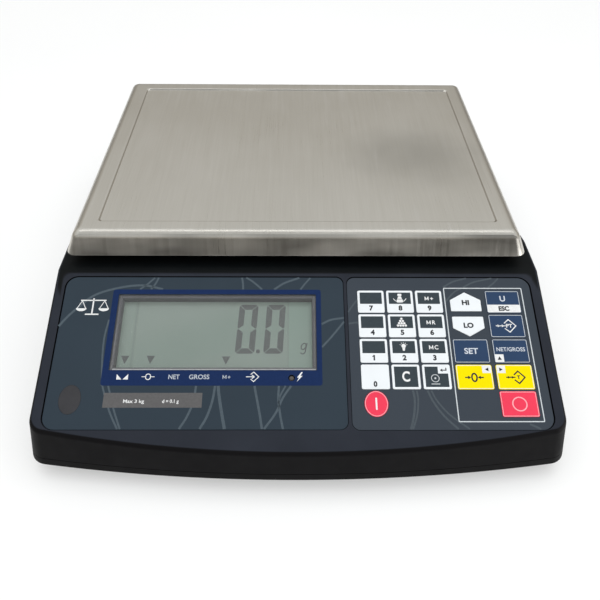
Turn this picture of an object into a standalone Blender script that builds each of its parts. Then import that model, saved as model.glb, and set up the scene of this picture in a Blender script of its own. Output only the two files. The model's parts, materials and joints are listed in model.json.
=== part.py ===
"""Counting scale: sloped console housing, lift-off steel platter, membrane keypad, LCD."""
import math

import bmesh
import bpy
from mathutils import Vector

# ---------------------------------------------------------------- driving dimensions (mm)
# plan of the housing at its top edge and at its foot: half width, rear wall, crown of the
# bowed front, radius of that bow, front and rear corner radii
CROWN_PLAN = (155.0, 176.0, -176.0, 880.0, 9.0, 12.0)
FOOT_PLAN = (158.6, 180.2, -180.2, 1040.0, 11.0, 14.0)
REAR_TAPER = 4.0             # each side closes in by this much from the bend to the rear wall
SHOULDER = ((-32.0, 0.0), (-26.0, 0.8), (-20.0, 2.2), (-14.0, 3.2))    # y, amount closed in there
BASE_Z = 11.0                # underside of the lower shell, feet reach below it
PART_LINE_Z = 15.7           # top of the lower shell's lip
SHELL_GAP = 0.3
DECK_Z = 72.0                # flat rim around the weighing area
BEND_Y = -63.3               # where the deck turns down into the console
CONSOLE_SLOPE = math.radians(20.0)
WALL = 2.5
CONSOLE_T = 4.0
TOP_EDGE_R = 2.2

PLATTER_TOP_Z = 93.7
PLATTER_CX, PLATTER_CY = -1.2, 56.8      # rests in the play of its cushions
PLATTER_FLAT = (141.3, 108.9)      # half sizes of the flat top
PLATTER_PANEL = (128.9, 96.5)      # half sizes of the recessed inner panel
PLATTER_PANEL_DROP = 1.0
PANEL_SHIFT = 1.0                  # the recess is pressed a little to the right of centre
PLATTER_SKIRT_FLARE = 7.0
PLATTER_SKIRT_Z = 79.4
PLATTER_FOLD_R = 3.0
SHEET_T = 1.0

DISPLAY_RECESS = (-148.2, 28.6, 5.3, 105.9)   # u0, u1, v0, v1 on the console
KEYPAD_RECESS = (30.4, 148.2, 5.5, 106.2)
RECESS_OUTER_R = 8.0
RECESS_INNER_R = 5.0
DISPLAY_RECESS_DEPTH = 1.8
KEYPAD_RECESS_DEPTH = 2.8
LABEL_CLEAR = 0.35
LABEL_TOP = -0.3
DISPLAY_LABEL_T = 1.2
KEYPAD_LABEL_T = 1.1

WINDOW = (-113.2, 10.8, 18.2, 69.3)
WINDOW_LEDGE = 2.4
LED_AT = (-4.3, 74.2)
LEVEL_AT = (-133.5, 87.6)
LEVEL_SIZE = (12.8, 17.8)

KEY_U0, KEY_PITCH_U, KEY_W = 37.3, 18.3, 16.4
KEY_V0, KEY_PITCH_V, KEY_H = 15.6, 16.75, 15.3
KEY_A_U, KEY_B_U, KEY_AB_W = 94.1, 118.2, 21.3
KEY_TOP = -0.1
KEY_T = 0.9
KEY_CLEAR = 0.3
KEY_CORNER_R = 0.8
KEY_ON_AT, KEY_ON_SIZE = (45.2, 90.2), (13.6, 15.5)

SUPPORT_Z = (81.0, 88.1)
CUSHION_AT = (104.0, 76.0)
CUSHION_D = 14.0
POST_X = 50.0
CELL_HALF = (65.0, 13.5)
CELL_Z = (28.0, 50.0)

FOOT_AT = ((-122.0, -128.0), (122.0, -128.0), (-122.0, 145.0), (122.0, 145.0))
FOOT_PAD_D, FOOT_PAD_T = 24.0, 5.0
FOOT_WHEEL_D, FOOT_WHEEL_T = 22.0, 4.0
FOOT_STUD_D, FOOT_STUD_TOP = 6.0, 29.0
FOOT_RECESS_D, FOOT_RECESS_Z = 30.0, 14.2
SCREW_AT = ((-138.0, -100.0), (138.0, -100.0), (-138.0, 112.0), (138.0, 112.0))

BATTERY = (-50.5, 50.5, 94.0, 164.0, 13.9, 57.0)
DOOR = (-55.6, 55.6, 92.4, 167.6)
DOOR_Z = (11.0, 13.2)
DOOR_GAP = 0.5
INLET_X, INLET_Z = 105.0, 34.0
SERIAL_X, SERIAL_Z = -100.0, 35.0

MM = 0.001
SIN, COS = math.sin(CONSOLE_SLOPE), math.cos(CONSOLE_SLOPE)
TAN = math.tan(CONSOLE_SLOPE)


# ---------------------------------------------------------------- helpers
def world(x, y, z):
    return Vector((x, y, z)) * MM


def con(u, v, w):
    """Console coordinates: u to the right, v down the slope, w out of the surface."""
    return Vector((u, BEND_Y - v * COS - w * SIN, DECK_Z - v * SIN + w * COS)) * MM


def side(y, z, x):
    return Vector((x, y, z)) * MM


def along_y(x, z, y):
    return Vector((x, y, z)) * MM


def material(name, rgb, rough, metal=0.0):
    m = bpy.data.materials.new(name)
    m.use_nodes = True
    b = m.node_tree.nodes["Principled BSDF"]
    b.inputs["Base Color"].default_value = (*rgb, 1.0)
    b.inputs["Roughness"].default_value = rough
    b.inputs["Metallic"].default_value = metal
    return m


def make(name, bm, mat=None):
    bmesh.ops.recalc_face_normals(bm, faces=bm.faces[:])
    me = bpy.data.meshes.new(name)
    bm.to_mesh(me)
    bm.free()
    if mat is not None:
        me.materials.append(mat)
    ob = bpy.data.objects.new(name, me)
    bpy.context.scene.collection.objects.link(ob)
    return ob


def add_prism(bm, pts, lo, hi, place):
    a = [bm.verts.new(place(p[0], p[1], lo)) for p in pts]
    b = [bm.verts.new(place(p[0], p[1], hi)) for p in pts]
    n = len(pts)
    bm.faces.new(a[::-1])
    bm.faces.new(b)
    for i in range(n):
        j = (i + 1) % n
        bm.faces.new((a[i], a[j], b[j], b[i]))


def prism(name, pts, lo, hi, place=world, mat=None):
    bm = bmesh.new()
    add_prism(bm, pts, lo, hi, place)
    return make(name, bm, mat)


def loft(name, rings, mat=None):
    """Closed skin through rings of equal vertex count, capped at both ends."""
    bm = bmesh.new()
    rows = [[bm.verts.new(Vector(p) * MM) for p in ring] for ring in rings]
    n = len(rows[0])
    for a, b in zip(rows, rows[1:]):
        for i in range(n):
            j = (i + 1) % n
            bm.faces.new((a[i], a[j], b[j], b[i]))
    bm.faces.new(rows[0][::-1])
    bm.faces.new(rows[-1])
    return make(name, bm, mat)


def turned(name, profile, cx, cy, segs=20, mat=None):
    """Solid turned about a vertical axis from (radius, z) points, bottom to top."""
    rings = []
    for r, z in profile:
        rings.append([(cx + r * math.cos(2 * math.pi * k / segs),
                       cy + r * math.sin(2 * math.pi * k / segs), z) for k in range(segs)])
    return loft(name, rings, mat)


def rect(x0, x1, y0, y1):
    return [(x0, y0), (x1, y0), (x1, y1), (x0, y1)]


def round_rect(x0, x1, y0, y1, r, segs=3):
    """r is one radius, or four for corners (x0,y0), (x1,y0), (x1,y1), (x0,y1)."""
    rr = [r] * 4 if isinstance(r, (int, float)) else list(r)
    out = []
    for (cx, cy, a0), q in zip(((x0 + rr[0], y0 + rr[0], 180), (x1 - rr[1], y0 + rr[1], 270),
                                (x1 - rr[2], y1 - rr[2], 0), (x0 + rr[3], y1 - rr[3], 90)), rr):
        for k in range(segs + 1):
            a = math.radians(a0 + 90 * k / segs)
            out.append((cx + q * math.cos(a), cy + q * math.sin(a)))
    return out


def ellipse(cx, cy, w, h, segs=20):
    return [(cx + w / 2 * math.cos(2 * math.pi * k / segs),
             cy + h / 2 * math.sin(2 * math.pi * k / segs)) for k in range(segs)]


def circle(cx, cy, d, segs=20):
    return ellipse(cx, cy, d, d, segs)


def boolean(target, tool, operation):
    mod = target.modifiers.new("shape", "BOOLEAN")
    mod.operation = operation
    mod.solver = "EXACT"
    mod.object = tool
    tool.hide_render = True
    tool.display_type = "WIRE"
    graph = bpy.context.evaluated_depsgraph_get()
    graph.update()
    result = bpy.data.meshes.new_from_object(target.evaluated_get(graph))
    target.modifiers.clear()
    old = target.data
    target.data = result
    bpy.data.meshes.remove(old)
    bpy.data.objects.remove(tool)


def cut(target, tool):
    boolean(target, tool, "DIFFERENCE")


def fuse(target, tool):
    boolean(target, tool, "UNION")


def plan_outline(plan, inset, front_segs=22, corner_segs=4, side_rows=4):
    """Housing plan: bowed front, sides that taper behind the bend, rounded corners, counter-clockwise.

    The straight sides are split at the bend line, and again between it and the front corner."""
    half_w, rear, front, bow, rf, rb = plan
    hx, back, bow_r = half_w - inset, rear - inset, bow - inset
    bow_cy = front + bow
    rf, rb = rf - inset, rb - inset
    cy = bow_cy - math.sqrt((bow_r - rf) ** 2 - (hx - rf) ** 2)
    tilt = math.atan2(hx - rf, bow_cy - cy)       # bow angle at the corner
    pts = []
    for k in range(front_segs + 1):
        a = -tilt + 2 * tilt * k / front_segs
        pts.append((bow_r * math.sin(a), bow_cy - bow_r * math.cos(a)))
    for k in range(1, corner_segs + 1):
        a = (math.pi / 2 - tilt) * k / corner_segs
        pts.append((hx - rf + rf * math.sin(tilt + a), cy - rf * math.cos(tilt + a)))
    rows = [cy + (BEND_Y - cy) * k / side_rows for k in range(1, side_rows + 1)]
    pts += [(hx, y) for y in rows]
    pts += [(hx - d, y) for y, d in SHOULDER]
    hr = hx - REAR_TAPER
    for k in range(corner_segs + 1):
        a = math.pi / 2 * k / corner_segs
        pts.append((hr - rb + rb * math.cos(a), back - rb + rb * math.sin(a)))
    for k in range(corner_segs + 1):
        a = math.pi / 2 + math.pi / 2 * k / corner_segs
        pts.append((-hr + rb + rb * math.cos(a), back - rb + rb * math.sin(a)))
    pts += [(-hx + d, y) for y, d in SHOULDER[::-1]]
    pts += [(-hx, y) for y in rows[::-1]]
    for k in range(corner_segs):
        a = (math.pi / 2 - tilt) * (corner_segs - k) / corner_segs
        pts.append((-hx + rf - rf * math.sin(tilt + a), cy - rf * math.cos(tilt + a)))
    return pts


# ---------------------------------------------------------------- clean start
for old in list(bpy.data.objects):
    bpy.data.objects.remove(old)

ABS_DARK = material("abs_anthracite", (0.026, 0.029, 0.036), 0.55)
ABS_BLACK = material("abs_black", (0.012, 0.012, 0.013), 0.6)
STEEL = material("brushed_stainless", (0.42, 0.40, 0.36), 0.35, 1.0)
ALU = material("die_cast_aluminium", (0.45, 0.46, 0.47), 0.5, 1.0)
ALU_BAR = material("machined_aluminium", (0.62, 0.63, 0.64), 0.35, 1.0)
RUBBER = material("black_rubber", (0.015, 0.015, 0.015), 0.85)
SLATE = material("slate_polyester", (0.045, 0.062, 0.078), 0.45)
KEY_DARK = material("key_dark", (0.035, 0.042, 0.052), 0.45)
KEY_WHITE = material("key_white", (0.78, 0.79, 0.80), 0.45)
KEY_NAVY = material("key_navy", (0.02, 0.045, 0.15), 0.45)
KEY_YELLOW = material("key_yellow", (0.95, 0.76, 0.0), 0.45)
KEY_RED = material("key_red", (0.85, 0.04, 0.09), 0.45)
ACRYLIC = material("clear_acrylic", (0.75, 0.78, 0.76), 0.1)
ACRYLIC_BROWN = material("brown_acrylic", (0.07, 0.055, 0.045), 0.25)
LCD = material("lcd_glass", (0.24, 0.26, 0.24), 0.3)
PCB = material("green_board", (0.01, 0.11, 0.05), 0.5)
LED_RED = material("led_lens", (0.25, 0.12, 0.08), 0.3)
VIAL = material("level_vial_green", (0.3, 0.4, 0.05), 0.2)
ZINC = material("zinc_steel", (0.55, 0.55, 0.53), 0.4, 1.0)
CASE_GREY = material("battery_case", (0.03, 0.03, 0.035), 0.5)


# ---------------------------------------------------------------- upper housing
def console_z(y, drop=0.0):
    """Height of the console plane, or of a plane a given depth below it."""
    return DECK_Z - drop / COS - TAN * (BEND_Y - y)


def body_solid(name, inset, z_low, top_drop, console_drop, mat=None):
    """Whole housing form: flat deck, sloped console, walls leaning out to the foot."""
    top = DECK_Z - top_drop
    bend = BEND_Y - (console_z(BEND_Y, console_drop) - top) / TAN if top_drop else BEND_Y
    bend = min(bend, BEND_Y)
    crown = []
    for x, y in plan_outline(CROWN_PLAN, inset):
        y = bend if abs(y - BEND_Y) < 1e-6 else y
        crown.append((x, y, top if y >= bend - 1e-6 else min(top, console_z(y, console_drop))))
    foot = [(x, y, z_low) for x, y in plan_outline(FOOT_PLAN, inset)]
    bm = bmesh.new()
    a = [bm.verts.new(Vector(p) * MM) for p in crown]
    b = [bm.verts.new(Vector(p) * MM) for p in foot]
    n = len(a)
    deck = [v for v, p in zip(a, crown) if p[1] >= bend - 1e-6]
    slope = [i for i, p in enumerate(crown) if p[1] <= bend + 1e-6]
    # the outline starts at the front left, so the console loop wraps round its end
    split = next(k for k in range(1, len(slope)) if slope[k] != slope[k - 1] + 1)
    bm.faces.new(deck)
    bm.faces.new([a[i] for i in slope[split:] + slope[:split]])
    bm.faces.new(b[::-1])
    for i in range(n):
        j = (i + 1) % n
        bm.faces.new((b[i], b[j], a[j], a[i]))
    return make(name, bm, mat)


def slab(name, z0, z1):
    return prism(name, rect(-200.0, 200.0, -220.0, 220.0), z0, z1)


upper = body_solid("upper_housing", 0.0, BASE_Z, 0.0, 0.0, ABS_DARK)
bm = bmesh.new()
bm.from_mesh(upper.data)
rim = []
for e in bm.edges:
    a, b = e.link_faces
    if min(v.co.z for v in e.verts) < 0.02:
        continue
    if e.calc_face_angle(0.0) > math.radians(50) and max(a.normal.z, b.normal.z) > 0.8:
        rim.append(e)
bmesh.ops.bevel(bm, geom=rim, offset=TOP_EDGE_R * MM, offset_type="OFFSET", segments=3,
                profile=0.5, affect="EDGES", clamp_overlap=False)
foot_edges = [e for e in bm.edges if max(v.co.z for v in e.verts) < (BASE_Z + 0.1) * MM]
bmesh.ops.bevel(bm, geom=foot_edges, offset=0.9 * MM, offset_type="OFFSET", segments=2,
                profile=0.5, affect="EDGES", clamp_overlap=False)
bmesh.ops.recalc_face_normals(bm, faces=bm.faces[:])
bm.to_mesh(upper.data)
bm.free()
lower = bpy.data.objects.new("lower_housing", upper.data.copy())
bpy.context.scene.collection.objects.link(lower)
lower.data.materials.clear()
lower.data.materials.append(ABS_BLACK)
cut(upper, slab("below_seam", -10.0, PART_LINE_Z + SHELL_GAP))
cut(lower, slab("above_seam", PART_LINE_Z, 120.0))

cut(upper, body_solid("hollow", WALL, BASE_Z - 1.0, 6.5, CONSOLE_T))
cut(upper, prism("deck_well", round_rect(-138.0, 138.0, -46.0, 162.0, 8.0, 3), 68.0, DECK_Z + 5.0))
cut(upper, prism("post_hole", round_rect(POST_X - 19.0, POST_X + 19.0, PLATTER_CY - 19.0,
                                         PLATTER_CY + 19.0, 3.0, 2), 55.0, DECK_Z + 5.0))

# bosses for the case screws and posts for the display board
bm = bmesh.new()
for x, y in SCREW_AT:
    top = 67.0 if y > 0 else console_z(y, CONSOLE_T) + 3.2
    add_prism(bm, circle(x, y, 9.0, 16), 20.0, top, world)
for u, v in ((-113.2, 17.0), (11.2, 17.0), (-113.2, 75.0), (11.2, 75.0)):
    add_prism(bm, circle(u, v, 4.8, 10), -7.6, -3.0, con)
fuse(upper, make("bosses", bm))

u0, u1, v0, v1 = DISPLAY_RECESS
display_pocket = round_rect(u0, u1, v0, v1, (RECESS_OUTER_R, RECESS_INNER_R, RECESS_INNER_R, RECESS_OUTER_R), 4)
cut(upper, prism("display_pocket", display_pocket, -DISPLAY_RECESS_DEPTH, 6.0, con))
u0, u1, v0, v1 = KEYPAD_RECESS
keypad_pocket = round_rect(u0, u1, v0, v1, (RECESS_INNER_R, RECESS_OUTER_R, RECESS_OUTER_R, RECESS_INNER_R), 4)
cut(upper, prism("keypad_pocket", keypad_pocket, -KEYPAD_RECESS_DEPTH, 6.0, con))

bm = bmesh.new()
wu0, wu1, wv0, wv1 = WINDOW
add_prism(bm, rect(wu0 + WINDOW_LEDGE, wu1 - WINDOW_LEDGE, wv0 + WINDOW_LEDGE, wv1 - WINDOW_LEDGE), -6.0, 2.0, con)
add_prism(bm, circle(*LED_AT, 4.2, 14), -6.0, 2.0, con)
add_prism(bm, ellipse(*LEVEL_AT, LEVEL_SIZE[0] - 2.0, LEVEL_SIZE[1] - 2.0, 20), -6.0, 2.0, con)
add_prism(bm, rect(66.0, 92.0, 97.0, 99.4), -6.0, 2.0, con)            # keypad tail slot
for x, y in SCREW_AT:
    add_prism(bm, circle(x, y, 4.4, 12), 17.0, 40.0, world)
add_prism(bm, circle(INLET_X, INLET_Z, 9.2, 16), 170.0, 184.0, along_y)
add_prism(bm, rect(SERIAL_X - 8.9, SERIAL_X + 8.9, SERIAL_Z - 4.6, SERIAL_Z + 4.6), 170.0, 184.0, along_y)
cut(upper, make("openings", bm))

# ---------------------------------------------------------------- lower housing
cut(lower, prism("tray", plan_outline(FOOT_PLAN, WALL + 0.3), BASE_Z + 2.5, PART_LINE_Z + 5.0))
FLOOR = BASE_Z + 2.0

bm = bmesh.new()
for x, y in FOOT_AT:
    add_prism(bm, circle(x, y, FOOT_RECESS_D + 5.0, 20), FLOOR, FOOT_RECESS_Z + 2.5, world)
fuse(lower, make("foot_cups", bm))
bm = bmesh.new()
for x, y in FOOT_AT:
    add_prism(bm, circle(x, y, 13.0, 16), 15.5, 25.0, world)
for x, y in SCREW_AT:
    add_prism(bm, circle(x, y, 12.0, 16), FLOOR, 19.7, world)
add_prism(bm, rect(-67.0, -37.0, PLATTER_CY - 15.0, PLATTER_CY + 15.0), FLOOR, CELL_Z[0] - 0.3, world)
for x, y in ((-121.0, -46.0), (-11.0, -46.0), (-121.0, 26.0), (-11.0, 26.0)):
    add_prism(bm, circle(x, y, 6.0, 10), FLOOR, 21.7, world)
level_xy = (LEVEL_AT[0], BEND_Y - LEVEL_AT[1] * COS)
add_prism(bm, circle(level_xy[0] - 3.0, level_xy[1] - 2.0, 9.0, 12), FLOOR, 25.9, world)
fuse(lower, make("pillars", bm))
fuse(lower, prism("battery_bay", rect(-60.0, 60.0, 88.0, 172.0), FLOOR, 54.0))

bm = bmesh.new()
add_prism(bm, rect(-58.0, 58.0, 90.0, 170.0), BASE_Z + 2.5, 60.0, world)
cut(lower, make("battery_room", bm))
bm = bmesh.new()
add_prism(bm, rect(DOOR[0] - DOOR_GAP, DOOR[1] + DOOR_GAP, DOOR[2] - DOOR_GAP, DOOR[3] + 0.7), 5.0, 20.0, world)
for x, y in FOOT_AT:
    add_prism(bm, circle(x, y, FOOT_RECESS_D, 20), 5.0, FOOT_RECESS_Z, world)
for x, y in SCREW_AT:
    add_prism(bm, circle(x, y, 8.2, 14), 5.0, 14.1, world)
cut(lower, make("undersides", bm))
bm = bmesh.new()
for x, y in FOOT_AT:
    add_prism(bm, circle(x, y, FOOT_STUD_D + 0.8, 14), 10.0, 30.0, world)
for x, y in SCREW_AT:
    add_prism(bm, circle(x, y, 4.4, 12), 13.0, 22.0, world)
cut(lower, make("bores", bm))

# ---------------------------------------------------------------- console inserts
u0, u1, v0, v1 = DISPLAY_RECESS
c = LABEL_CLEAR
display_label = prism("display_label",
                      round_rect(u0 + c, u1 - c, v0 + c, v1 - c,
                                 (RECESS_OUTER_R - c, RECESS_INNER_R - c, RECESS_INNER_R - c, RECESS_OUTER_R - c), 4),
                      LABEL_TOP - DISPLAY_LABEL_T, LABEL_TOP, con, SLATE)
bm = bmesh.new()
add_prism(bm, rect(wu0 - 0.3, wu1 + 0.3, wv0 - 0.3, wv1 + 0.3), -4.0, 2.0, con)
add_prism(bm, circle(*LED_AT, 4.2, 14), -4.0, 2.0, con)
add_prism(bm, ellipse(*LEVEL_AT, LEVEL_SIZE[0] + 0.6, LEVEL_SIZE[1] + 0.6, 24), -4.0, 2.0, con)
cut(display_label, make("label_openings", bm))

prism("lcd_window", rect(wu0, wu1, wv0, wv1), LABEL_TOP - DISPLAY_LABEL_T, LABEL_TOP, con, ACRYLIC)
prism("level_window", ellipse(*LEVEL_AT, LEVEL_SIZE[0], LEVEL_SIZE[1], 24),
      LABEL_TOP - DISPLAY_LABEL_T, LABEL_TOP, con, ACRYLIC_BROWN)
lg = WINDOW_LEDGE + 0.5
prism("lcd_module", rect(wu0 + lg, wu1 - lg, wv0 + lg, wv1 - lg), -7.4, -2.2, con, LCD)
prism("display_board", round_rect(-116.2, 14.2, 14.0, 78.0, 1.5, 1), -9.5, -7.9, con, PCB)

led_rings = []
for r, w in ((1.7, -7.6), (1.7, -1.6), (1.45, -0.9), (0.8, -0.5)):
    led_rings.append([tuple(con(*p, w) / MM) for p in circle(*LED_AT, 2 * r, 12)])
loft("charge_led", led_rings, LED_RED)

u0, u1, v0, v1 = KEYPAD_RECESS
keypad_label = prism("keypad_label",
                     round_rect(u0 + c, u1 - c, v0 + c, v1 - c,
                                (RECESS_INNER_R - c, RECESS_OUTER_R - c, RECESS_OUTER_R - c, RECESS_INNER_R - c), 4),
                     LABEL_TOP - KEYPAD_LABEL_T, LABEL_TOP, con, SLATE)
prism("keypad_board", rect(34.0, 145.0, 10.0, 102.0), -2.5, -1.7, con, PCB)


def key_rect(u, v, w, h, grow=0.0):
    return round_rect(u - grow, u + w + grow, v - grow, v + h + grow, KEY_CORNER_R + grow, 2)


def key_house(u, v, w, h, up, grow=0.0):
    """Pentagon key, a rectangle with a shallow point at its top or bottom."""
    g = grow
    shoulder = 0.42 * h
    pts = [(u - g, v + shoulder - 0.4 * g), (u + w / 2, v - 1.1 * g), (u + w + g, v + shoulder - 0.4 * g),
           (u + w + g, v + h + g), (u - g, v + h + g)]
    if not up:
        pts = [(a, 2 * v + h - b) for a, b in pts][::-1]
    return pts


def grid(col, row):
    return (KEY_U0 + col * KEY_PITCH_U, KEY_V0 + row * KEY_PITCH_V, KEY_W, KEY_H)


def wide(col, row):
    return (KEY_A_U if col == 0 else KEY_B_U, KEY_V0 + 0.1 + row * KEY_PITCH_V, KEY_AB_W, KEY_H)


KEYS = {}
for digit, (col, row) in {"7": (0, 0), "8": (1, 0), "9": (2, 0), "4": (0, 1), "5": (1, 1), "6": (2, 1),
                          "1": (0, 2), "2": (1, 2), "3": (2, 2), "0": (0, 3)}.items():
    KEYS["key_" + digit] = (key_rect, grid(col, row), KEY_WHITE if digit == "0" else KEY_DARK)
KEYS["key_clear"] = (key_rect, grid(1, 3), KEY_DARK)
KEYS["key_print"] = (key_rect, grid(2, 3), KEY_DARK)
KEYS["key_unit_esc"] = (key_rect, wide(1, 0), KEY_NAVY)
KEYS["key_preset_tare"] = (key_rect, wide(1, 1), KEY_NAVY)
KEYS["key_set"] = (key_rect, wide(0, 2), KEY_NAVY)
KEYS["key_net_gross"] = (key_rect, wide(1, 2), KEY_NAVY)
KEYS["key_zero"] = (key_rect, wide(0, 3), KEY_YELLOW)
KEYS["key_tare"] = (key_rect, wide(1, 3), KEY_YELLOW)
KEYS["key_off"] = (key_rect, wide(1, 4), KEY_RED)
HI_BOX = (95.6, 16.7, 19.0, 13.1)
LO_BOX = (95.6, 33.8, 19.2, 13.3)

holes = bmesh.new()
for key_name, (shape, box, colour) in KEYS.items():
    prism(key_name, shape(*box), KEY_TOP - KEY_T, KEY_TOP, con, colour)
    add_prism(holes, shape(*box, grow=KEY_CLEAR), -4.0, 2.0, con)
prism("key_hi", key_house(*HI_BOX, True), KEY_TOP - KEY_T, KEY_TOP, con, KEY_WHITE)
add_prism(holes, key_house(*HI_BOX, True, grow=KEY_CLEAR), -4.0, 2.0, con)
prism("key_lo", key_house(*LO_BOX, False), KEY_TOP - KEY_T, KEY_TOP, con, KEY_WHITE)
add_prism(holes, key_house(*LO_BOX, False, grow=KEY_CLEAR), -4.0, 2.0, con)
prism("key_on", ellipse(*KEY_ON_AT, *KEY_ON_SIZE, 24), KEY_TOP - KEY_T, KEY_TOP, con, KEY_RED)
add_prism(holes, ellipse(*KEY_ON_AT, KEY_ON_SIZE[0] + 2 * KEY_CLEAR, KEY_ON_SIZE[1] + 2 * KEY_CLEAR, 24),
          -4.0, 2.0, con)
cut(keypad_label, make("key_holes", holes))

# ---------------------------------------------------------------- weighing platter
def platter_ring(grow, z, corner):
    hx, hy = PLATTER_FLAT[0] + grow, PLATTER_FLAT[1] + grow
    cx = PLATTER_CX + (PANEL_SHIFT if grow < -6.0 else 0.0)
    return [(cx + x, PLATTER_CY + y, z) for x, y in round_rect(-hx, hx, -hy, hy, corner, 4)]


panel = PLATTER_PANEL[0] - PLATTER_FLAT[0]
lean = math.atan2(PLATTER_SKIRT_FLARE - 1.5, PLATTER_TOP_Z - 1.6 - PLATTER_SKIRT_Z)
outer = [(panel, PLATTER_TOP_Z - PLATTER_PANEL_DROP, 2.0), (panel + 1.0, PLATTER_TOP_Z, 2.6),
         (-0.4, PLATTER_TOP_Z, 3.2), (0.8, PLATTER_TOP_Z - 0.5, 3.8), (1.5, PLATTER_TOP_Z - 1.6, 4.2),
         (PLATTER_SKIRT_FLARE, PLATTER_SKIRT_Z, 6.0)]
inner = [(PLATTER_SKIRT_FLARE - SHEET_T / math.cos(lean), PLATTER_SKIRT_Z, 5.2),
         (0.2, PLATTER_TOP_Z - 2.3, 3.4), (-0.8, PLATTER_TOP_Z - SHEET_T, 2.8),
         (panel + 1.6, PLATTER_TOP_Z - SHEET_T, 2.0), (panel + 0.6, PLATTER_TOP_Z - SHEET_T - PLATTER_PANEL_DROP, 1.6)]
loft("weighing_platter", [platter_ring(*r) for r in outer + inner], STEEL)

# ---------------------------------------------------------------- pan support, cushions, load cell
z0, z1 = SUPPORT_Z
ax, ay = CUSHION_AT
arm = 9.0
hub = 34.0
spider = [(-hub, -hub + 8), (-ax - 7, -ay + 3), (-ax - 7, -ay - 7), (-ax + 6, -ay - 7), (-hub + 12, -hub),
          (hub - 12, -hub), (ax - 6, -ay - 7), (ax + 7, -ay - 7), (ax + 7, -ay + 3), (hub, -hub + 8),
          (hub, hub - 8), (ax + 7, ay - 3), (ax + 7, ay + 7), (ax - 6, ay + 7), (hub - 12, hub),
          (-hub + 12, hub), (-ax + 6, ay + 7), (-ax - 7, ay + 7), (-ax - 7, ay - 3), (-hub, hub - 8)]
support = prism("pan_support", [(x, PLATTER_CY + y) for x, y in spider], z0, z1, world, ALU)
fuse(support, prism("hub_plate", rect(-hub + 4, POST_X + 15.0, PLATTER_CY - 15.0, PLATTER_CY + 15.0), z0 - 4.0, z1 - 2.0))
fuse(support, prism("post", rect(POST_X - 15.0, POST_X + 15.0, PLATTER_CY - 13.5, PLATTER_CY + 13.5),
                    CELL_Z[1] + 0.3, z0 - 1.0))
for k, (sx, sy) in enumerate(((-1, -1), (1, -1), (-1, 1), (1, 1))):
    cx, cy = sx * ax, PLATTER_CY + sy * ay
    top = PLATTER_TOP_Z - PLATTER_PANEL_DROP - SHEET_T - 0.3
    turned("cushion_%d" % (k + 1), [(CUSHION_D / 2, z1 + 0.3), (CUSHION_D / 2, top - 0.8), (CUSHION_D / 2 - 1.0, top)],
           cx, cy, 16, RUBBER)

cell = prism("load_cell", rect(-CELL_HALF[0], CELL_HALF[0], PLATTER_CY - CELL_HALF[1], PLATTER_CY + CELL_HALF[1]),
             *CELL_Z, world, ALU_BAR)
zc = (CELL_Z[0] + CELL_Z[1]) / 2
dumbbell = [(-14 + 7 * math.cos(a), zc + 7 * math.sin(a)) for a in [math.radians(40 + 280 * k / 12) for k in range(13)]]
dumbbell += [(-x, 2 * zc - z) for x, z in dumbbell]
cut(cell, prism("binocular", dumbbell, PLATTER_CY - 20.0, PLATTER_CY + 20.0, along_y))

# ---------------------------------------------------------------- boards, level vial, battery
board = prism("main_board", rect(-126.0, -6.0, -51.0, 31.0), 22.0, 23.6, world, PCB)
bm = bmesh.new()
add_prism(bm, rect(-118.0, -100.0, -20.0, 18.0), 23.0, 38.0, world)
add_prism(bm, rect(-70.0, -50.0, -30.0, -10.0), 23.0, 25.2, world)
add_prism(bm, rect(-35.0, -14.0, -44.0, -36.0), 23.0, 32.0, world)
fuse(board, make("board_parts", bm))

turned("level_vial", [(8.2, 26.2), (8.6, 26.7), (8.6, 32.4), (7.8, 33.2)], level_xy[0], level_xy[1], 20, VIAL)

bx0, bx1, by0, by1, bz0, bz1 = BATTERY
battery = prism("battery", round_rect(bx0, bx1, by0, by1, 2.0, 2), bz0, bz1, world, CASE_GREY)
bm = bmesh.new()
add_prism(bm, rect(-46.0, -34.0, 100.0, 108.0), bz1 - 1.0, bz1 + 4.0, world)
add_prism(bm, rect(34.0, 46.0, 100.0, 108.0), bz1 - 1.0, bz1 + 4.0, world)
fuse(battery, make("terminals", bm))

door = prism("battery_door", rect(*DOOR), *DOOR_Z, world, ABS_BLACK)
bm = bmesh.new()
add_prism(bm, rect(-9.0, 9.0, DOOR[2] + 3.0, DOOR[2] + 13.0), 5.0, DOOR_Z[0] + 0.9, world)   # finger dip
cut(door, make("finger_dip", bm))

# ---------------------------------------------------------------- rear connectors
inlet = prism("dc_inlet", rect(INLET_X - 7.0, INLET_X + 7.0, INLET_Z - 6.0, INLET_Z + 6.0), 159.7, 174.9, along_y, ABS_BLACK)
fuse(inlet, prism("nose", circle(INLET_X, INLET_Z, 8.5, 10), 174.0, 177.6, along_y))
cut(inlet, prism("barrel", circle(INLET_X, INLET_Z, 6.4, 10), 165.0, 182.0, along_y))
fuse(inlet, prism("pin", circle(INLET_X, INLET_Z, 2.1, 6), 164.0, 176.0, along_y))

serial = prism("serial_port", rect(SERIAL_X - 15.5, SERIAL_X + 15.5, SERIAL_Z - 6.2, SERIAL_Z + 6.2), 164.0, 174.9,
               along_y, ZINC)
fuse(serial, prism("shell", [(SERIAL_X - 8.4, SERIAL_Z + 4.1), (SERIAL_X - 7.4, SERIAL_Z - 4.1),
                             (SERIAL_X + 7.4, SERIAL_Z - 4.1), (SERIAL_X + 8.4, SERIAL_Z + 4.1)], 174.0, 177.6, along_y))
cut(serial, prism("mouth", [(SERIAL_X - 7.5, SERIAL_Z + 3.3), (SERIAL_X - 6.7, SERIAL_Z - 3.3),
                            (SERIAL_X + 6.7, SERIAL_Z - 3.3), (SERIAL_X + 7.5, SERIAL_Z + 3.3)], 176.9, 182.0, along_y))

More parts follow.
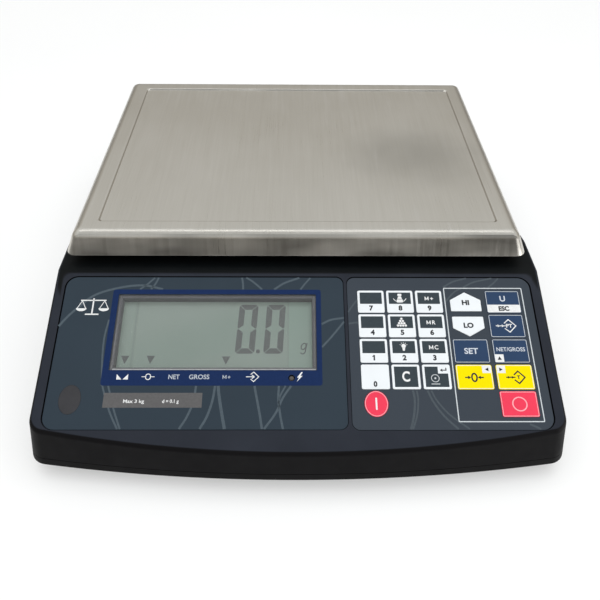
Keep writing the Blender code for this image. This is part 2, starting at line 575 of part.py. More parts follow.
# ---------------------------------------------------------------- feet and case screws
for k, (x, y) in enumerate(FOOT_AT):
    r = FOOT_PAD_D / 2
    turned("foot_pad_%d" % (k + 1), [(r - 1.0, 0.0), (r, 1.0), (r, FOOT_PAD_T - 0.6), (r - 0.6, FOOT_PAD_T)], x, y, 20, RUBBER)
    w0 = FOOT_PAD_T + 0.3
    w1 = w0 + FOOT_WHEEL_T
    rs = FOOT_STUD_D / 2
    rw = FOOT_WHEEL_D / 2
    turned("foot_stud_%d" % (k + 1), [(rw - 0.5, w0), (rw, w0 + 0.5), (rw, w1 - 0.5), (rw - 0.5, w1), (rs, w1 + 0.01),
                                      (rs, FOOT_STUD_TOP - 0.8), (rs - 0.8, FOOT_STUD_TOP)], x, y, 16, ZINC)

for k, (x, y) in enumerate(SCREW_AT):
    turned("case_screw_%d" % (k + 1), [(3.2, 11.5), (3.6, 12.1), (3.6, 13.8), (1.9, 13.81), (1.9, 34.0), (0.6, 36.0)],
           x, y, 12, ZINC)

for ob in bpy.data.objects:
    if ob.type == "MESH":
        ob.data.shade_smooth()
        ob.data.set_sharp_from_angle(angle=math.radians(32))
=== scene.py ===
"""Counting scale: shells, printed films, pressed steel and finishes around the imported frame."""
import json
import math

import bmesh
import bpy
from mathutils import Matrix, Vector

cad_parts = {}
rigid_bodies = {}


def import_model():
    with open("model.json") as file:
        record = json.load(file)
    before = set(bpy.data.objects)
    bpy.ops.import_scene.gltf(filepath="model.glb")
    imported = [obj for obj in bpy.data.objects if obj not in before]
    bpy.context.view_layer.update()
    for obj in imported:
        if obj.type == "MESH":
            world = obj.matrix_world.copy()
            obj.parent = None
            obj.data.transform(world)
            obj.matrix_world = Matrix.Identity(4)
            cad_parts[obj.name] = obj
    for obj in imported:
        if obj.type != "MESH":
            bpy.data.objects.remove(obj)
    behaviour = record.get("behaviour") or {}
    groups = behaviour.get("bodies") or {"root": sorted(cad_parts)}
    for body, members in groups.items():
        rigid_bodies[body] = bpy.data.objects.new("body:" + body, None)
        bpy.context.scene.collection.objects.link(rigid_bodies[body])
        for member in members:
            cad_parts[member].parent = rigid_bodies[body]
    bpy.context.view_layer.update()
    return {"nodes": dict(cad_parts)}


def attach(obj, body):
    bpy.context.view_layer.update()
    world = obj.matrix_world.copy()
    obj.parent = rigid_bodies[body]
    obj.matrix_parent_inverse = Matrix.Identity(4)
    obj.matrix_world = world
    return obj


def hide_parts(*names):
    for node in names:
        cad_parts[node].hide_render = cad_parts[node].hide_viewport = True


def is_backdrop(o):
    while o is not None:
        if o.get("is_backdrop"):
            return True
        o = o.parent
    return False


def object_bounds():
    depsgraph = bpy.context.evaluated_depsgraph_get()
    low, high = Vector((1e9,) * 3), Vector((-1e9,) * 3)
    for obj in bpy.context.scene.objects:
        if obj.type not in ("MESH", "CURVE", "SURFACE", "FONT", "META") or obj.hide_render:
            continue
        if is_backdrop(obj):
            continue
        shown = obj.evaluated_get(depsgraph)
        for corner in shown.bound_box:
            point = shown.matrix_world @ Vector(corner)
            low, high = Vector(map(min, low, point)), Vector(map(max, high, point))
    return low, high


for old in list(bpy.data.objects):
    bpy.data.objects.remove(old)

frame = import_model()

# ---------------------------------------------------------------- dimensions shared with the frame (mm)
CROWN_PLAN = (155.0, 176.0, -176.0, 880.0, 9.0, 12.0)
FOOT_PLAN = (158.6, 180.2, -180.2, 1040.0, 11.0, 14.0)
REAR_TAPER = 4.0
SHOULDER = ((-32.0, 0.0), (-26.0, 0.8), (-20.0, 2.2), (-14.0, 3.2))
BASE_Z = 11.0
PART_LINE_Z = 15.7
SHELL_GAP = 0.3
DECK_Z = 72.0
BEND_Y = -63.3
CONSOLE_SLOPE = math.radians(20.0)
WALL = 2.5
CONSOLE_T = 4.0
TOP_EDGE_R = 2.2

PLATTER_TOP_Z = 93.7
PLATTER_CX, PLATTER_CY = -1.2, 56.8
PLATTER_FLAT = (141.3, 108.9)
PLATTER_PANEL = (128.9, 96.5)
PANEL_SHIFT = 1.0             # the recess is pressed a little to the right of centre
PLATTER_SKIRT_FLARE = 7.0
PLATTER_SKIRT_Z = 79.4
SHEET_T = 1.0

DISPLAY_RECESS = (-148.2, 28.6, 5.3, 105.9)
KEYPAD_RECESS = (30.4, 148.2, 5.5, 106.2)
DISPLAY_RECESS_DEPTH = 1.8
KEYPAD_RECESS_DEPTH = 2.8
LABEL_TOP = -0.3
WINDOW = (-113.2, 10.8, 18.2, 69.3)
LED_AT = (-4.3, 74.2)
LEVEL_AT = (-133.5, 87.6)
LEVEL_SIZE = (12.8, 17.8)
GLASS_W = -6.0               # face of the liquid crystal glass, set well back behind the window

KEY_U0, KEY_PITCH_U, KEY_W = 37.3, 18.3, 16.4
KEY_V0, KEY_PITCH_V, KEY_H = 15.6, 16.75, 15.3
KEY_A_U, KEY_B_U, KEY_AB_W = 94.1, 118.2, 21.3
KEY_TOP = -0.1
KEY_CORNER_R = 0.8
KEY_ON_AT, KEY_ON_SIZE = (45.2, 90.2), (13.6, 15.5)
HI_BOX = (95.6, 16.7, 19.0, 13.1)
LO_BOX = (95.6, 33.8, 19.2, 13.3)

SUPPORT_Z = (81.0, 88.1)
CUSHION_AT = (104.0, 76.0)
POST_X = 50.0
CELL_Z = (28.0, 50.0)
FOOT_AT = ((-122.0, -128.0), (122.0, -128.0), (-122.0, 145.0), (122.0, 145.0))
SCREW_AT = ((-138.0, -100.0), (138.0, -100.0), (-138.0, 112.0), (138.0, 112.0))
BATTERY = (-50.5, 50.5, 94.0, 164.0, 13.9, 57.0)
DOOR = (-55.6, 55.6, 92.4, 167.6)
DOOR_Z = (11.0, 13.2)
INLET_X, INLET_Z = 105.0, 34.0
SERIAL_X, SERIAL_Z = -100.0, 35.0

MM = 0.001
SIN, COS, TAN = math.sin(CONSOLE_SLOPE), math.cos(CONSOLE_SLOPE), math.tan(CONSOLE_SLOPE)


# ---------------------------------------------------------------- placing and meshing
def world(x, y, z):
    return Vector((x, y, z)) * MM


def con(u, v, w):
    """Console coordinates: u to the right, v down the slope, w out of the surface."""
    return Vector((u, BEND_Y - v * COS - w * SIN, DECK_Z - v * SIN + w * COS)) * MM


def console_w(p):
    """Height over the console plane of a point in metres, in mm."""
    return (-(p.y / MM - BEND_Y) * SIN + (p.z / MM - DECK_Z) * COS)


def along_y(x, z, y):
    return Vector((x, y, z)) * MM


def make(name, bm, mats=()):
    bmesh.ops.recalc_face_normals(bm, faces=bm.faces[:])
    me = bpy.data.meshes.new(name)
    bm.to_mesh(me)
    bm.free()
    for m in (mats if isinstance(mats, (list, tuple)) else [mats]):
        me.materials.append(m)
    ob = bpy.data.objects.new(name, me)
    bpy.context.scene.collection.objects.link(ob)
    return ob


def add_prism(bm, pts, lo, hi, place, index=0):
    a = [bm.verts.new(place(p[0], p[1], lo)) for p in pts]
    b = [bm.verts.new(place(p[0], p[1], hi)) for p in pts]
    n = len(pts)
    made = [bm.faces.new(a[::-1]), bm.faces.new(b)]
    for i in range(n):
        j = (i + 1) % n
        made.append(bm.faces.new((a[i], a[j], b[j], b[i])))
    for f in made:
        f.material_index = index
    return a, b


def prism(name, pts, lo, hi, place=world, mats=()):
    bm = bmesh.new()
    add_prism(bm, pts, lo, hi, place)
    return make(name, bm, mats)


def cap(name, pts, lo, hi, place, mats, edge=0.25, segs=3, under=0.0):
    """Prism whose top edge is rounded, and its lower edge too if under is given."""
    bm = bmesh.new()
    a, b = add_prism(bm, pts, lo, hi, place)
    top, low = set(b), set(a)
    rim = [e for e in bm.edges if e.verts[0] in top and e.verts[1] in top]
    bmesh.ops.bevel(bm, geom=rim, offset=edge * MM, offset_type="OFFSET", segments=segs, profile=0.5,
                    affect="EDGES", clamp_overlap=True)
    if under:
        rim = [e for e in bm.edges if e.is_valid and all(v in low for v in e.verts)]
        bmesh.ops.bevel(bm, geom=rim, offset=under * MM, offset_type="OFFSET", segments=segs, profile=0.5,
                        affect="EDGES", clamp_overlap=True)
    return make(name, bm, mats)


def add_loft(bm, rings, place=world, closed=False, index=0):
    rows = [[bm.verts.new(place(*p)) for p in ring] for ring in rings]
    n = len(rows[0])
    made = []
    pairs = list(zip(rows, rows[1:])) + ([(rows[-1], rows[0])] if closed else [])
    for a, b in pairs:
        for i in range(n):
            j = (i + 1) % n
            made.append(bm.faces.new((a[i], a[j], b[j], b[i])))
    if not closed:
        made.append(bm.faces.new(rows[0][::-1]))
        made.append(bm.faces.new(rows[-1]))
    for f in made:
        f.material_index = index


def loft(name, rings, mats=(), place=world, closed=False):
    bm = bmesh.new()
    add_loft(bm, rings, place, closed)
    return make(name, bm, mats)


def turn_rings(profile, cx, cy, segs=48):
    return [[(cx + r * math.cos(2 * math.pi * k / segs), cy + r * math.sin(2 * math.pi * k / segs), z)
             for k in range(segs)] for r, z in profile]


def rounded_profile(points, radius, steps=4):
    """Polyline of (r, z) points whose inner corners are filleted."""
    return fillet(points, radius, steps, closed=False)


def fillet(points, radius, steps=4, closed=True):
    """Polygon or polyline with every corner rounded; radius is one number or one for each corner."""
    out = []
    n = len(points)
    for i, p in enumerate(points):
        if not closed and i in (0, n - 1):
            out.append(tuple(p))
            continue
        r = radius if isinstance(radius, (int, float)) else radius[i]
        a, b = points[i - 1], points[(i + 1) % n]
        va = Vector((a[0] - p[0], a[1] - p[1]))
        vb = Vector((b[0] - p[0], b[1] - p[1]))
        la, lb = va.length, vb.length
        if r <= 0 or la < 1e-9 or lb < 1e-9:
            out.append(tuple(p))
            continue
        va, vb = va / la, vb / lb
        angle = math.acos(max(-1.0, min(1.0, va.dot(vb))))
        if angle > math.pi - 0.02:
            out.append(tuple(p))
            continue
        t = min(r / math.tan(angle / 2), 0.48 * la, 0.48 * lb)
        q = t * math.tan(angle / 2)
        mid = (va + vb).normalized()
        centre = Vector(p) + mid * (q / math.sin(angle / 2))
        start = Vector(p) + va * t
        end = Vector(p) + vb * t
        a0 = math.atan2(start.y - centre.y, start.x - centre.x)
        a1 = math.atan2(end.y - centre.y, end.x - centre.x)
        d = (a1 - a0 + math.pi) % (2 * math.pi) - math.pi
        for k in range(steps + 1):
            s = a0 + d * k / steps
            out.append((centre.x + q * math.cos(s), centre.y + q * math.sin(s)))
    return out


def rect(x0, x1, y0, y1):
    return [(x0, y0), (x1, y0), (x1, y1), (x0, y1)]


def round_rect(x0, x1, y0, y1, r, segs=6):
    rr = [r] * 4 if isinstance(r, (int, float)) else list(r)
    out = []
    for (cx, cy, a0), q in zip(((x0 + rr[0], y0 + rr[0], 180), (x1 - rr[1], y0 + rr[1], 270),
                                (x1 - rr[2], y1 - rr[2], 0), (x0 + rr[3], y1 - rr[3], 90)), rr):
        for k in range(segs + 1):
            a = math.radians(a0 + 90 * k / segs)
            out.append((cx + q * math.cos(a), cy + q * math.sin(a)))
    return out


def ellipse(cx, cy, w, h, segs=48):
    return [(cx + w / 2 * math.cos(2 * math.pi * k / segs),
             cy + h / 2 * math.sin(2 * math.pi * k / segs)) for k in range(segs)]


def circle(cx, cy, d, segs=40):
    return ellipse(cx, cy, d, d, segs)


def boolean(target, tool, operation):
    mod = target.modifiers.new("shape", "BOOLEAN")
    mod.operation = operation
    mod.solver = "EXACT"
    mod.object = tool
    graph = bpy.context.evaluated_depsgraph_get()
    graph.update()
    result = bpy.data.meshes.new_from_object(target.evaluated_get(graph))
    target.modifiers.clear()
    old_mesh = target.data
    target.data = result
    bpy.data.meshes.remove(old_mesh)
    bpy.data.objects.remove(tool)


def cut(target, tool):
    boolean(target, tool, "DIFFERENCE")


def fuse(target, tool):
    boolean(target, tool, "UNION")


def round_edges(ob, chosen, offset, segs=3):
    """Bevels the edges that chosen(edge) accepts."""
    bm = bmesh.new()
    bm.from_mesh(ob.data)
    bmesh.ops.remove_doubles(bm, verts=bm.verts[:], dist=1e-7)
    rim = [e for e in bm.edges if len(e.link_faces) == 2 and chosen(e)]
    if rim:
        bmesh.ops.bevel(bm, geom=rim, offset=offset * MM, offset_type="OFFSET", segments=segs, profile=0.5,
                        affect="EDGES", clamp_overlap=True)
    bm.to_mesh(ob.data)
    bm.free()


def piece(ob, body, replaces=(), angle=34.0, weighted=True):
    """Finishes a mesh's shading and ties it to its body and the nodes it stands for."""
    ob.data.shade_smooth()
    ob.data.set_sharp_from_angle(angle=math.radians(angle))
    if weighted:
        mod = ob.modifiers.new("normals", "WEIGHTED_NORMAL")
        mod.keep_sharp = True
        mod.weight = 60
    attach(ob, body)
    if replaces:
        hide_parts(*replaces)
    return ob


# ---------------------------------------------------------------- materials
class Nodes:
    """Small wrapper that makes a node material."""

    def __init__(self, name):
        self.m = bpy.data.materials.new(name)
        self.m.use_nodes = True
        self.t = self.m.node_tree
        self.bsdf = self.t.nodes["Principled BSDF"]
        self.coord = self.t.nodes.new("ShaderNodeTexCoord")

    def new(self, kind, **props):
        n = self.t.nodes.new(kind)
        for k, v in props.items():
            setattr(n, k, v)
        return n

    def link(self, a, b):
        self.t.links.new(a, b)

    def mapped(self, scale, turn=(0.0, 0.0, 0.0), source="Object"):
        n = self.new("ShaderNodeMapping")
        n.inputs["Scale"].default_value = scale if isinstance(scale, tuple) else (scale,) * 3
        n.inputs["Rotation"].default_value = turn
        self.link(self.coord.outputs[source], n.inputs["Vector"])
        return n.outputs["Vector"]

    def noise(self, scale, detail=2.0, rough=0.5, turn=(0.0, 0.0, 0.0)):
        n = self.new("ShaderNodeTexNoise")
        n.inputs["Scale"].default_value = 1.0
        n.inputs["Detail"].default_value = detail
        n.inputs["Roughness"].default_value = rough
        self.link(self.mapped(scale, turn), n.inputs["Vector"])
        return n.outputs["Fac"]

    def span(self, value, lo, hi, from_lo=0.3, from_hi=0.7, smooth=False):
        n = self.new("ShaderNodeMapRange")
        if smooth:
            n.interpolation_type = "SMOOTHSTEP"
        n.inputs["From Min"].default_value = from_lo
        n.inputs["From Max"].default_value = from_hi
        n.inputs["To Min"].default_value = lo
        n.inputs["To Max"].default_value = hi
        self.link(value, n.inputs["Value"])
        return n.outputs["Result"]

    def blend(self, fac, a, b, kind="MIX"):
        """Colour mix; a, b are colours or sockets."""
        n = self.new("ShaderNodeMix", data_type="RGBA", blend_type=kind)
        for socket, value in ((n.inputs[0], fac), (n.inputs[6], a), (n.inputs[7], b)):
            if isinstance(value, (int, float)):
                socket.default_value = value
            elif isinstance(value, (tuple, list)):
                socket.default_value = (*value, 1.0) if len(value) == 3 else value
            else:
                self.link(value, socket)
        return n.outputs[2]

    def new_grey(self, value):
        n = self.new("ShaderNodeCombineColor")
        for socket in n.inputs[:3]:
            self.link(value, socket)
        return n.outputs[0]

    def calc(self, op, a, b=0.0, c=None):
        n = self.new("ShaderNodeMath", operation=op)
        for socket, value in zip(n.inputs, (a, b, c)):
            if value is None:
                continue
            if isinstance(value, (int, float)):
                socket.default_value = value
            else:
                self.link(value, socket)
        return n.outputs[0]

    def axis(self, source="Object"):
        n = self.new("ShaderNodeSeparateXYZ")
        self.link(self.coord.outputs[source], n.inputs[0])
        return n.outputs

    def bump(self, height, strength, distance, chain=None):
        n = self.new("ShaderNodeBump")
        n.inputs["Strength"].default_value = strength
        n.inputs["Distance"].default_value = distance
        self.link(height, n.inputs["Height"])
        if chain is not None:
            self.link(chain, n.inputs["Normal"])
        return n.outputs["Normal"]

    def set(self, name, value):
        s = self.bsdf.inputs[name]
        if isinstance(value, (int, float)):
            s.default_value = value
        elif isinstance(value, (tuple, list)):
            s.default_value = (*value, 1.0) if len(value) == 3 else value
        else:
            self.link(value, s)


def tint(rgb, k):
    return tuple(min(1.0, c * k) for c in rgb)


def srgb(r, g, b):
    return tuple(((c / 255.0) / 12.92 if c <= 10 else (((c / 255.0) + 0.055) / 1.055) ** 2.4) for c in (r, g, b))


def plastic(name, rgb, rough=0.5, spec=0.3, vary=0.10, blotch=30.0, grain=2600.0, bump=0.25, depth=0.00004,
            rough_vary=0.06, coat=0.0):
    """Moulded plastic or film: slow colour drift, fine spark-eroded grain, uneven sheen."""
    n = Nodes(name)
    slow = n.noise(blotch, 3.0, 0.55)
    fine = n.noise(grain, 2.0, 0.6)
    both = n.blend(0.35, slow, fine)
    n.set("Base Color", n.blend(n.span(both, 0.0, 1.0, 0.35, 0.65), tint(rgb, 1 - vary), tint(rgb, 1 + vary)))
    n.set("Roughness", n.span(n.noise(blotch * 5.0, 3.0), rough - rough_vary, rough + rough_vary))
    n.set("Normal", n.bump(fine, bump, depth))
    n.set("Specular IOR Level", spec)
    if coat:
        n.set("Coat Weight", coat)
        n.set("Coat Roughness", 0.15)
    return n.m


def housing(name, console, deck, wall, rough=0.5, spec=0.2):
    """Textured housing plastic with painted light: the console face is painted lighter, as lit, and the deck and the
    walls darker, as in shade.
    """
    n = Nodes(name)
    # painted light: masks by face direction give the console face its lit colour and the deck its painted shadow
    up = n.axis("Normal")[2]
    on_console = n.calc("MULTIPLY", n.span(up, 0.0, 1.0, 0.80, 0.90, smooth=True), n.span(up, 1.0, 0.0, 0.962, 0.985, smooth=True))
    on_deck = n.span(up, 0.0, 1.0, 0.965, 0.99, smooth=True)
    slow = n.noise(24.0, 3.0, 0.55)
    fine = n.noise(2400.0, 2.0, 0.6)
    shade = n.blend(on_deck, n.blend(on_console, wall, console), deck)
    both = n.span(n.blend(0.35, slow, fine), 0.86, 1.14, 0.35, 0.65)
    n.set("Base Color", n.blend(1.0, shade, n.new_grey(both), "MULTIPLY"))
    n.set("Roughness", n.span(n.noise(120.0, 3.0), rough - 0.06, rough + 0.06))
    n.set("Normal", n.bump(fine, 0.28, 0.00004))
    n.set("Specular IOR Level", spec)
    return n.m


def ink(name, rgb, rough=0.5, spec=0.25, vary=0.06):
    """Screen-printed ink: slight mottle of the pigment and a faint mesh mark."""
    n = Nodes(name)
    mottle = n.noise(700.0, 3.0, 0.6)
    n.set("Base Color", n.blend(n.span(mottle, 0.0, 1.0, 0.35, 0.65), tint(rgb, 1 - vary), tint(rgb, 1 + vary)))
    n.set("Roughness", n.span(n.noise(200.0), rough - 0.05, rough + 0.05))
    n.set("Normal", n.bump(n.noise(5000.0), 0.12, 0.00002))
    n.set("Specular IOR Level", spec)
    return n.m


def cast_metal(name, rgb, rough=0.45, vary=0.08, grain=900.0, depth=0.00008):
    n = Nodes(name)
    n.set("Base Color", n.blend(n.span(n.noise(60.0, 4.0, 0.6), 0.0, 1.0), tint(rgb, 1 - vary), tint(rgb, 1 + vary)))
    n.set("Roughness", n.span(n.noise(240.0, 3.0), rough - 0.08, rough + 0.08))
    n.set("Normal", n.bump(n.noise(grain, 4.0, 0.65), 0.35, depth))
    n.set("Metallic", 1.0)
    return n.m


def milled_metal(name, rgb, rough=0.32, direction=(40.0, 2500.0, 2500.0), vary=0.08):
    n = Nodes(name)
    lines = n.noise(direction, 3.0, 0.6)
    n.set("Base Color", n.blend(n.span(lines, 0.0, 1.0), tint(rgb, 1 - vary), tint(rgb, 1 + vary)))
    n.set("Roughness", n.span(lines, rough - 0.06, rough + 0.10))
    n.set("Normal", n.bump(lines, 0.2, 0.00003))
    n.set("Metallic", 1.0)
    return n.m


def brushed_steel(name):
    """Sheet steel brushed front to back: streaks follow the sheet over its folds, with faint wipe marks and a darker
    patch.
    """
    n = Nodes(name)
    normal = n.axis("Normal")
    facing = n.calc("GREATER_THAN", n.calc("ABSOLUTE", normal[1]), 0.62)       # the front and rear skirts
    fine_top = n.noise((2600.0, 26.0, 2600.0), 3.0, 0.65)
    fine_end = n.noise((2600.0, 26.0, 40.0), 3.0, 0.65)
    fine = n.blend(facing, fine_top, fine_end)
    soft_top = n.noise((420.0, 9.0, 420.0), 2.0, 0.5)
    soft_end = n.noise((420.0, 9.0, 14.0), 2.0, 0.5)
    soft = n.blend(facing, soft_top, soft_end)
    cloud = n.noise((13.0, 9.0, 13.0), 3.0, 0.6, (0.0, 0.0, 0.5))
    streak = n.calc("ADD", n.calc("MULTIPLY", fine, 0.40), n.calc("MULTIPLY", soft, 0.22))
    streak = n.calc("ADD", streak, n.calc("MULTIPLY", cloud, 0.38))
    colour = n.blend(n.span(streak, 0.0, 1.0, 0.36, 0.64), STEEL_RGB_LOW, STEEL_RGB_HIGH)
    # a darker, slightly rougher patch with a ragged edge on the right of the plate
    p = n.axis()
    dx = n.calc("MULTIPLY", n.calc("SUBTRACT", p[0], 0.089), 1.0 / 0.046)
    dy = n.calc("MULTIPLY", n.calc("SUBTRACT", p[1], 0.044), 1.0 / 0.040)
    far = n.calc("SQRT", n.calc("ADD", n.calc("MULTIPLY", dx, dx), n.calc("MULTIPLY", dy, dy)))
    far = n.calc("ADD", far, n.calc("MULTIPLY", n.calc("SUBTRACT", n.noise(26.0, 2.0), 0.5), 0.9))
    dark_patch = n.span(far, 1.0, 0.0, -0.1, 1.55, smooth=True)
    colour = n.blend(n.calc("MULTIPLY", dark_patch, 0.55), colour, tint(STEEL_RGB_LOW, 0.60))
    # faint slanting wipe marks, and blotches along the skirt
    wipe = n.span(n.noise((190.0, 16.0, 190.0), 2.0, 0.5, (0.0, 0.0, 0.62)), 0.0, 1.0, 0.56, 0.74, smooth=True)
    wipe = n.calc("MULTIPLY", wipe, n.span(n.noise((9.0, 9.0, 9.0), 1.0), 0.0, 1.0, 0.45, 0.62, smooth=True))
    colour = n.blend(n.calc("MULTIPLY", wipe, 0.30), colour, (0.70, 0.68, 0.65))
    blotch = n.span(n.noise((17.0, 17.0, 60.0), 2.0, 0.5), 0.42, 0.90, 0.36, 0.64)
    front = n.calc("MULTIPLY", facing, 1.0)
    colour = n.blend(front, colour, n.blend(1.0, colour, n.new_grey(blotch), "MULTIPLY"))
    n.set("Base Color", colour)
    rough = n.span(streak, STEEL_ROUGH - 0.05, STEEL_ROUGH + 0.07, 0.36, 0.64)
    n.set("Roughness", n.calc("ADD", rough, n.calc("MULTIPLY", dark_patch, 0.05)))
    n.set("Normal", n.bump(n.calc("ADD", fine, n.calc("MULTIPLY", soft, 0.35)), 0.07, 0.00002))
    n.set("Metallic", 1.0)
    return n.m


def circuit_board(name):
    n = Nodes(name)
    brick = n.new("ShaderNodeTexBrick")
    brick.inputs["Scale"].default_value = 1.0
    brick.inputs["Color1"].default_value = (0.012, 0.105, 0.045, 1.0)
    brick.inputs["Color2"].default_value = (0.018, 0.145, 0.060, 1.0)
    brick.inputs["Mortar"].default_value = (0.030, 0.22, 0.09, 1.0)
    brick.inputs["Mortar Size"].default_value = 0.06
    n.link(n.mapped((160.0, 160.0, 160.0), (0.0, 0.0, 0.4)), brick.inputs["Vector"])
    n.set("Base Color", n.blend(n.span(n.noise(300.0, 3.0), 0.0, 0.5), brick.outputs["Color"], (0.008, 0.07, 0.03)))
    n.set("Roughness", n.span(n.noise(500.0), 0.32, 0.45))
    n.set("Normal", n.bump(brick.outputs["Fac"], 0.3, 0.00005))
    return n.m


def lcd_face(name):
    """Grey-green reflective display: soft mottle, a slanting darker band and two faint film joins."""
    n = Nodes(name)
    p = n.axis()
    base = n.blend(n.span(n.noise(26.0, 3.0, 0.5), 0.0, 1.0), LCD_RGB_LOW, LCD_RGB_HIGH)
    band = n.calc("ADD", n.calc("MULTIPLY", p[0], 0.35), n.calc("MULTIPLY", p[1], -1.0))
    band = n.calc("ADD", band, n.calc("MULTIPLY", n.noise(14.0, 1.0), 0.012))
    darker = n.calc("MULTIPLY", n.span(band, 0.0, 1.0, 0.070, 0.092, smooth=True),
                    n.span(band, 1.0, 0.0, 0.098, 0.112, smooth=True))
    base = n.blend(n.calc("MULTIPLY", darker, 0.55), base, (0.160, 0.212, 0.186))
    for at, width, amount in ((-0.1020, 0.0016, 0.55), (-0.0064, 0.0009, 0.40)):
        d = n.calc("ABSOLUTE", n.calc("SUBTRACT", p[0], at))
        base = n.blend(n.calc("MULTIPLY", n.span(d, 1.0, 0.0, 0.0, width), amount), base, tint(LCD_RGB_LOW, 0.72))
    right = n.span(p[0], 0.0, 1.0, -0.0066, -0.0056, smooth=True)
    base = n.blend(n.calc("MULTIPLY", right, 0.5), base, (0.190, 0.262, 0.226))
    left = n.span(p[0], 1.0, 0.0, -0.1035, -0.1015, smooth=True)
    base = n.blend(n.calc("MULTIPLY", left, 0.4), base, (0.176, 0.228, 0.200))
    n.set("Base Color", base)
    n.set("Roughness", n.span(n.noise(900.0), 0.36, 0.46))
    n.set("Normal", n.bump(n.noise(4000.0), 0.08, 0.00002))
    n.set("Specular IOR Level", 0.1)
    return n.m


def clear_sheet(name, rgb, alpha, rough=0.06):
    n = Nodes(name)
    n.set("Base Color", n.blend(n.span(n.noise(80.0, 2.0), 0.0, 1.0), tint(rgb, 0.97), tint(rgb, 1.03)))
    n.set("Roughness", n.span(n.noise(220.0, 3.0), rough * 0.7, rough * 1.5))
    n.set("Alpha", alpha)
    n.set("Specular IOR Level", 0.5)
    return n.m


def rubber(name, rgb, rough=0.8):
    n = Nodes(name)
    n.set("Base Color", n.blend(n.span(n.noise(140.0, 4.0, 0.6), 0.0, 1.0), tint(rgb, 0.75), tint(rgb, 1.35)))
    n.set("Roughness", n.span(n.noise(600.0, 3.0), rough - 0.1, rough + 0.08))
    n.set("Normal", n.bump(n.noise(3200.0, 3.0, 0.6), 0.4, 0.00006))
    n.set("Specular IOR Level", 0.25)
    return n.m


STEEL_RGB_LOW, STEEL_RGB_HIGH, STEEL_ROUGH = (0.578, 0.556, 0.505), (0.664, 0.642, 0.594), 0.32
LCD_RGB_LOW, LCD_RGB_HIGH = (0.188, 0.230, 0.206), (0.206, 0.250, 0.226)

# painted light in the three shell colours: a lit console face, a deck in painted shadow under the platter, walls in
# painted shade
M_SHELL = housing("m_shell_anthracite_painted_light", (0.0200, 0.0235, 0.0325), (0.0030, 0.0040, 0.0045), (0.0040, 0.0037, 0.0044), 0.52, 0.10)
M_BASE = plastic("m_shell_black", (0.0048, 0.0046, 0.0050), 0.55, 0.10, 0.14, 24.0, 2400.0, 0.30)
M_STEEL = brushed_steel("m_brushed_steel")
M_FILM = plastic("m_film_slate", (0.0275, 0.0410, 0.0555), 0.46, 0.09, 0.05, 14.0, 3600.0, 0.12, 0.00002, 0.03)
M_FILM_KEYS = plastic("m_film_graphite", (0.0400, 0.0500, 0.0640), 0.46, 0.09, 0.05, 14.0, 3600.0, 0.12, 0.00002, 0.03)
M_KEY_DARK = plastic("m_key_graphite", (0.0375, 0.0505, 0.0600), 0.46, 0.09, 0.05, 60.0, 3600.0, 0.12, 0.00002, 0.03)
M_KEY_WHITE = plastic("m_key_white", (0.760, 0.795, 0.825), 0.46, 0.12, 0.025, 60.0, 3600.0, 0.10, 0.00002, 0.03)
M_KEY_NAVY = plastic("m_key_navy", (0.0245, 0.0500, 0.1080), 0.46, 0.09, 0.06, 60.0, 3600.0, 0.12, 0.00002, 0.03)
M_KEY_YELLOW = plastic("m_key_yellow", (0.865, 0.695, 0.001), 0.5, 0.03, 0.03, 60.0, 3600.0, 0.10, 0.00002, 0.03)
M_KEY_RED = plastic("m_key_red", (0.780, 0.048, 0.096), 0.46, 0.08, 0.04, 60.0, 3600.0, 0.10, 0.00002, 0.03)
M_INK_WHITE = ink("m_ink_white", (0.74, 0.75, 0.755))
M_INK_PALE = ink("m_ink_pale", (0.52, 0.55, 0.57))
M_INK_SOFT_KEY = ink("m_ink_soft_key", (0.56, 0.60, 0.66))
M_INK_SOFT = ink("m_ink_soft", (0.44, 0.48, 0.53))
M_INK_GROUP = ink("m_ink_group", (0.56, 0.60, 0.63))
M_INK_CURVE = ink("m_ink_curve", (0.070, 0.093, 0.112), 0.5, 0.09)
M_INK_CURVE_KEYS = ink("m_ink_curve_keys", (0.066, 0.082, 0.096), 0.5, 0.09)
M_INK_NAVY = ink("m_ink_navy", (0.0075, 0.0220, 0.0810), 0.5, 0.08)
M_INK_PLATE = ink("m_ink_plate", (0.106, 0.104, 0.106), 0.5, 0.1)
M_INK_DARK = ink("m_ink_dark", (0.020, 0.022, 0.026))
M_INK_GRAPHITE = ink("m_ink_graphite", (0.0375, 0.0505, 0.0600), 0.5, 0.09)
M_INK_ROSE = ink("m_ink_rose", (0.86, 0.36, 0.40))
# painted highlights: pale colours for strips that stand in for light caught on the bezel's edges
M_LIP_HIGHLIGHT = plastic("m_bezel_lip_highlight", (0.36, 0.375, 0.385), 0.30, 0.4, 0.12, 60.0, 2400.0, 0.1)
M_LIP_HIGHLIGHT_DIM = plastic("m_bezel_lip_highlight_dim", (0.125, 0.125, 0.132), 0.34, 0.3, 0.10, 60.0, 2400.0, 0.1)
M_BEZEL = plastic("m_bezel_grey", (0.070, 0.071, 0.079), 0.40, 0.15, 0.08, 90.0, 2400.0, 0.1)
M_LCD = lcd_face("m_lcd_face")
M_SEGMENT = ink("m_lcd_segment", (0.086, 0.094, 0.094), 0.5, 0.08)
M_WINDOW = clear_sheet("m_window_acrylic", (0.80, 0.82, 0.80), 0.03)
M_LEVEL_WINDOW = plastic("m_level_window", (0.041, 0.041, 0.045), 0.34, 0.12, 0.10, 120.0, 1200.0, 0.05)
M_LED = plastic("m_led_lens", (0.085, 0.075, 0.066), 0.30, 0.3, 0.15, 500.0, 3000.0, 0.1)
M_CAST = cast_metal("m_cast_aluminium", (0.50, 0.51, 0.52))
M_BAR = milled_metal("m_machined_aluminium", (0.66, 0.67, 0.68))
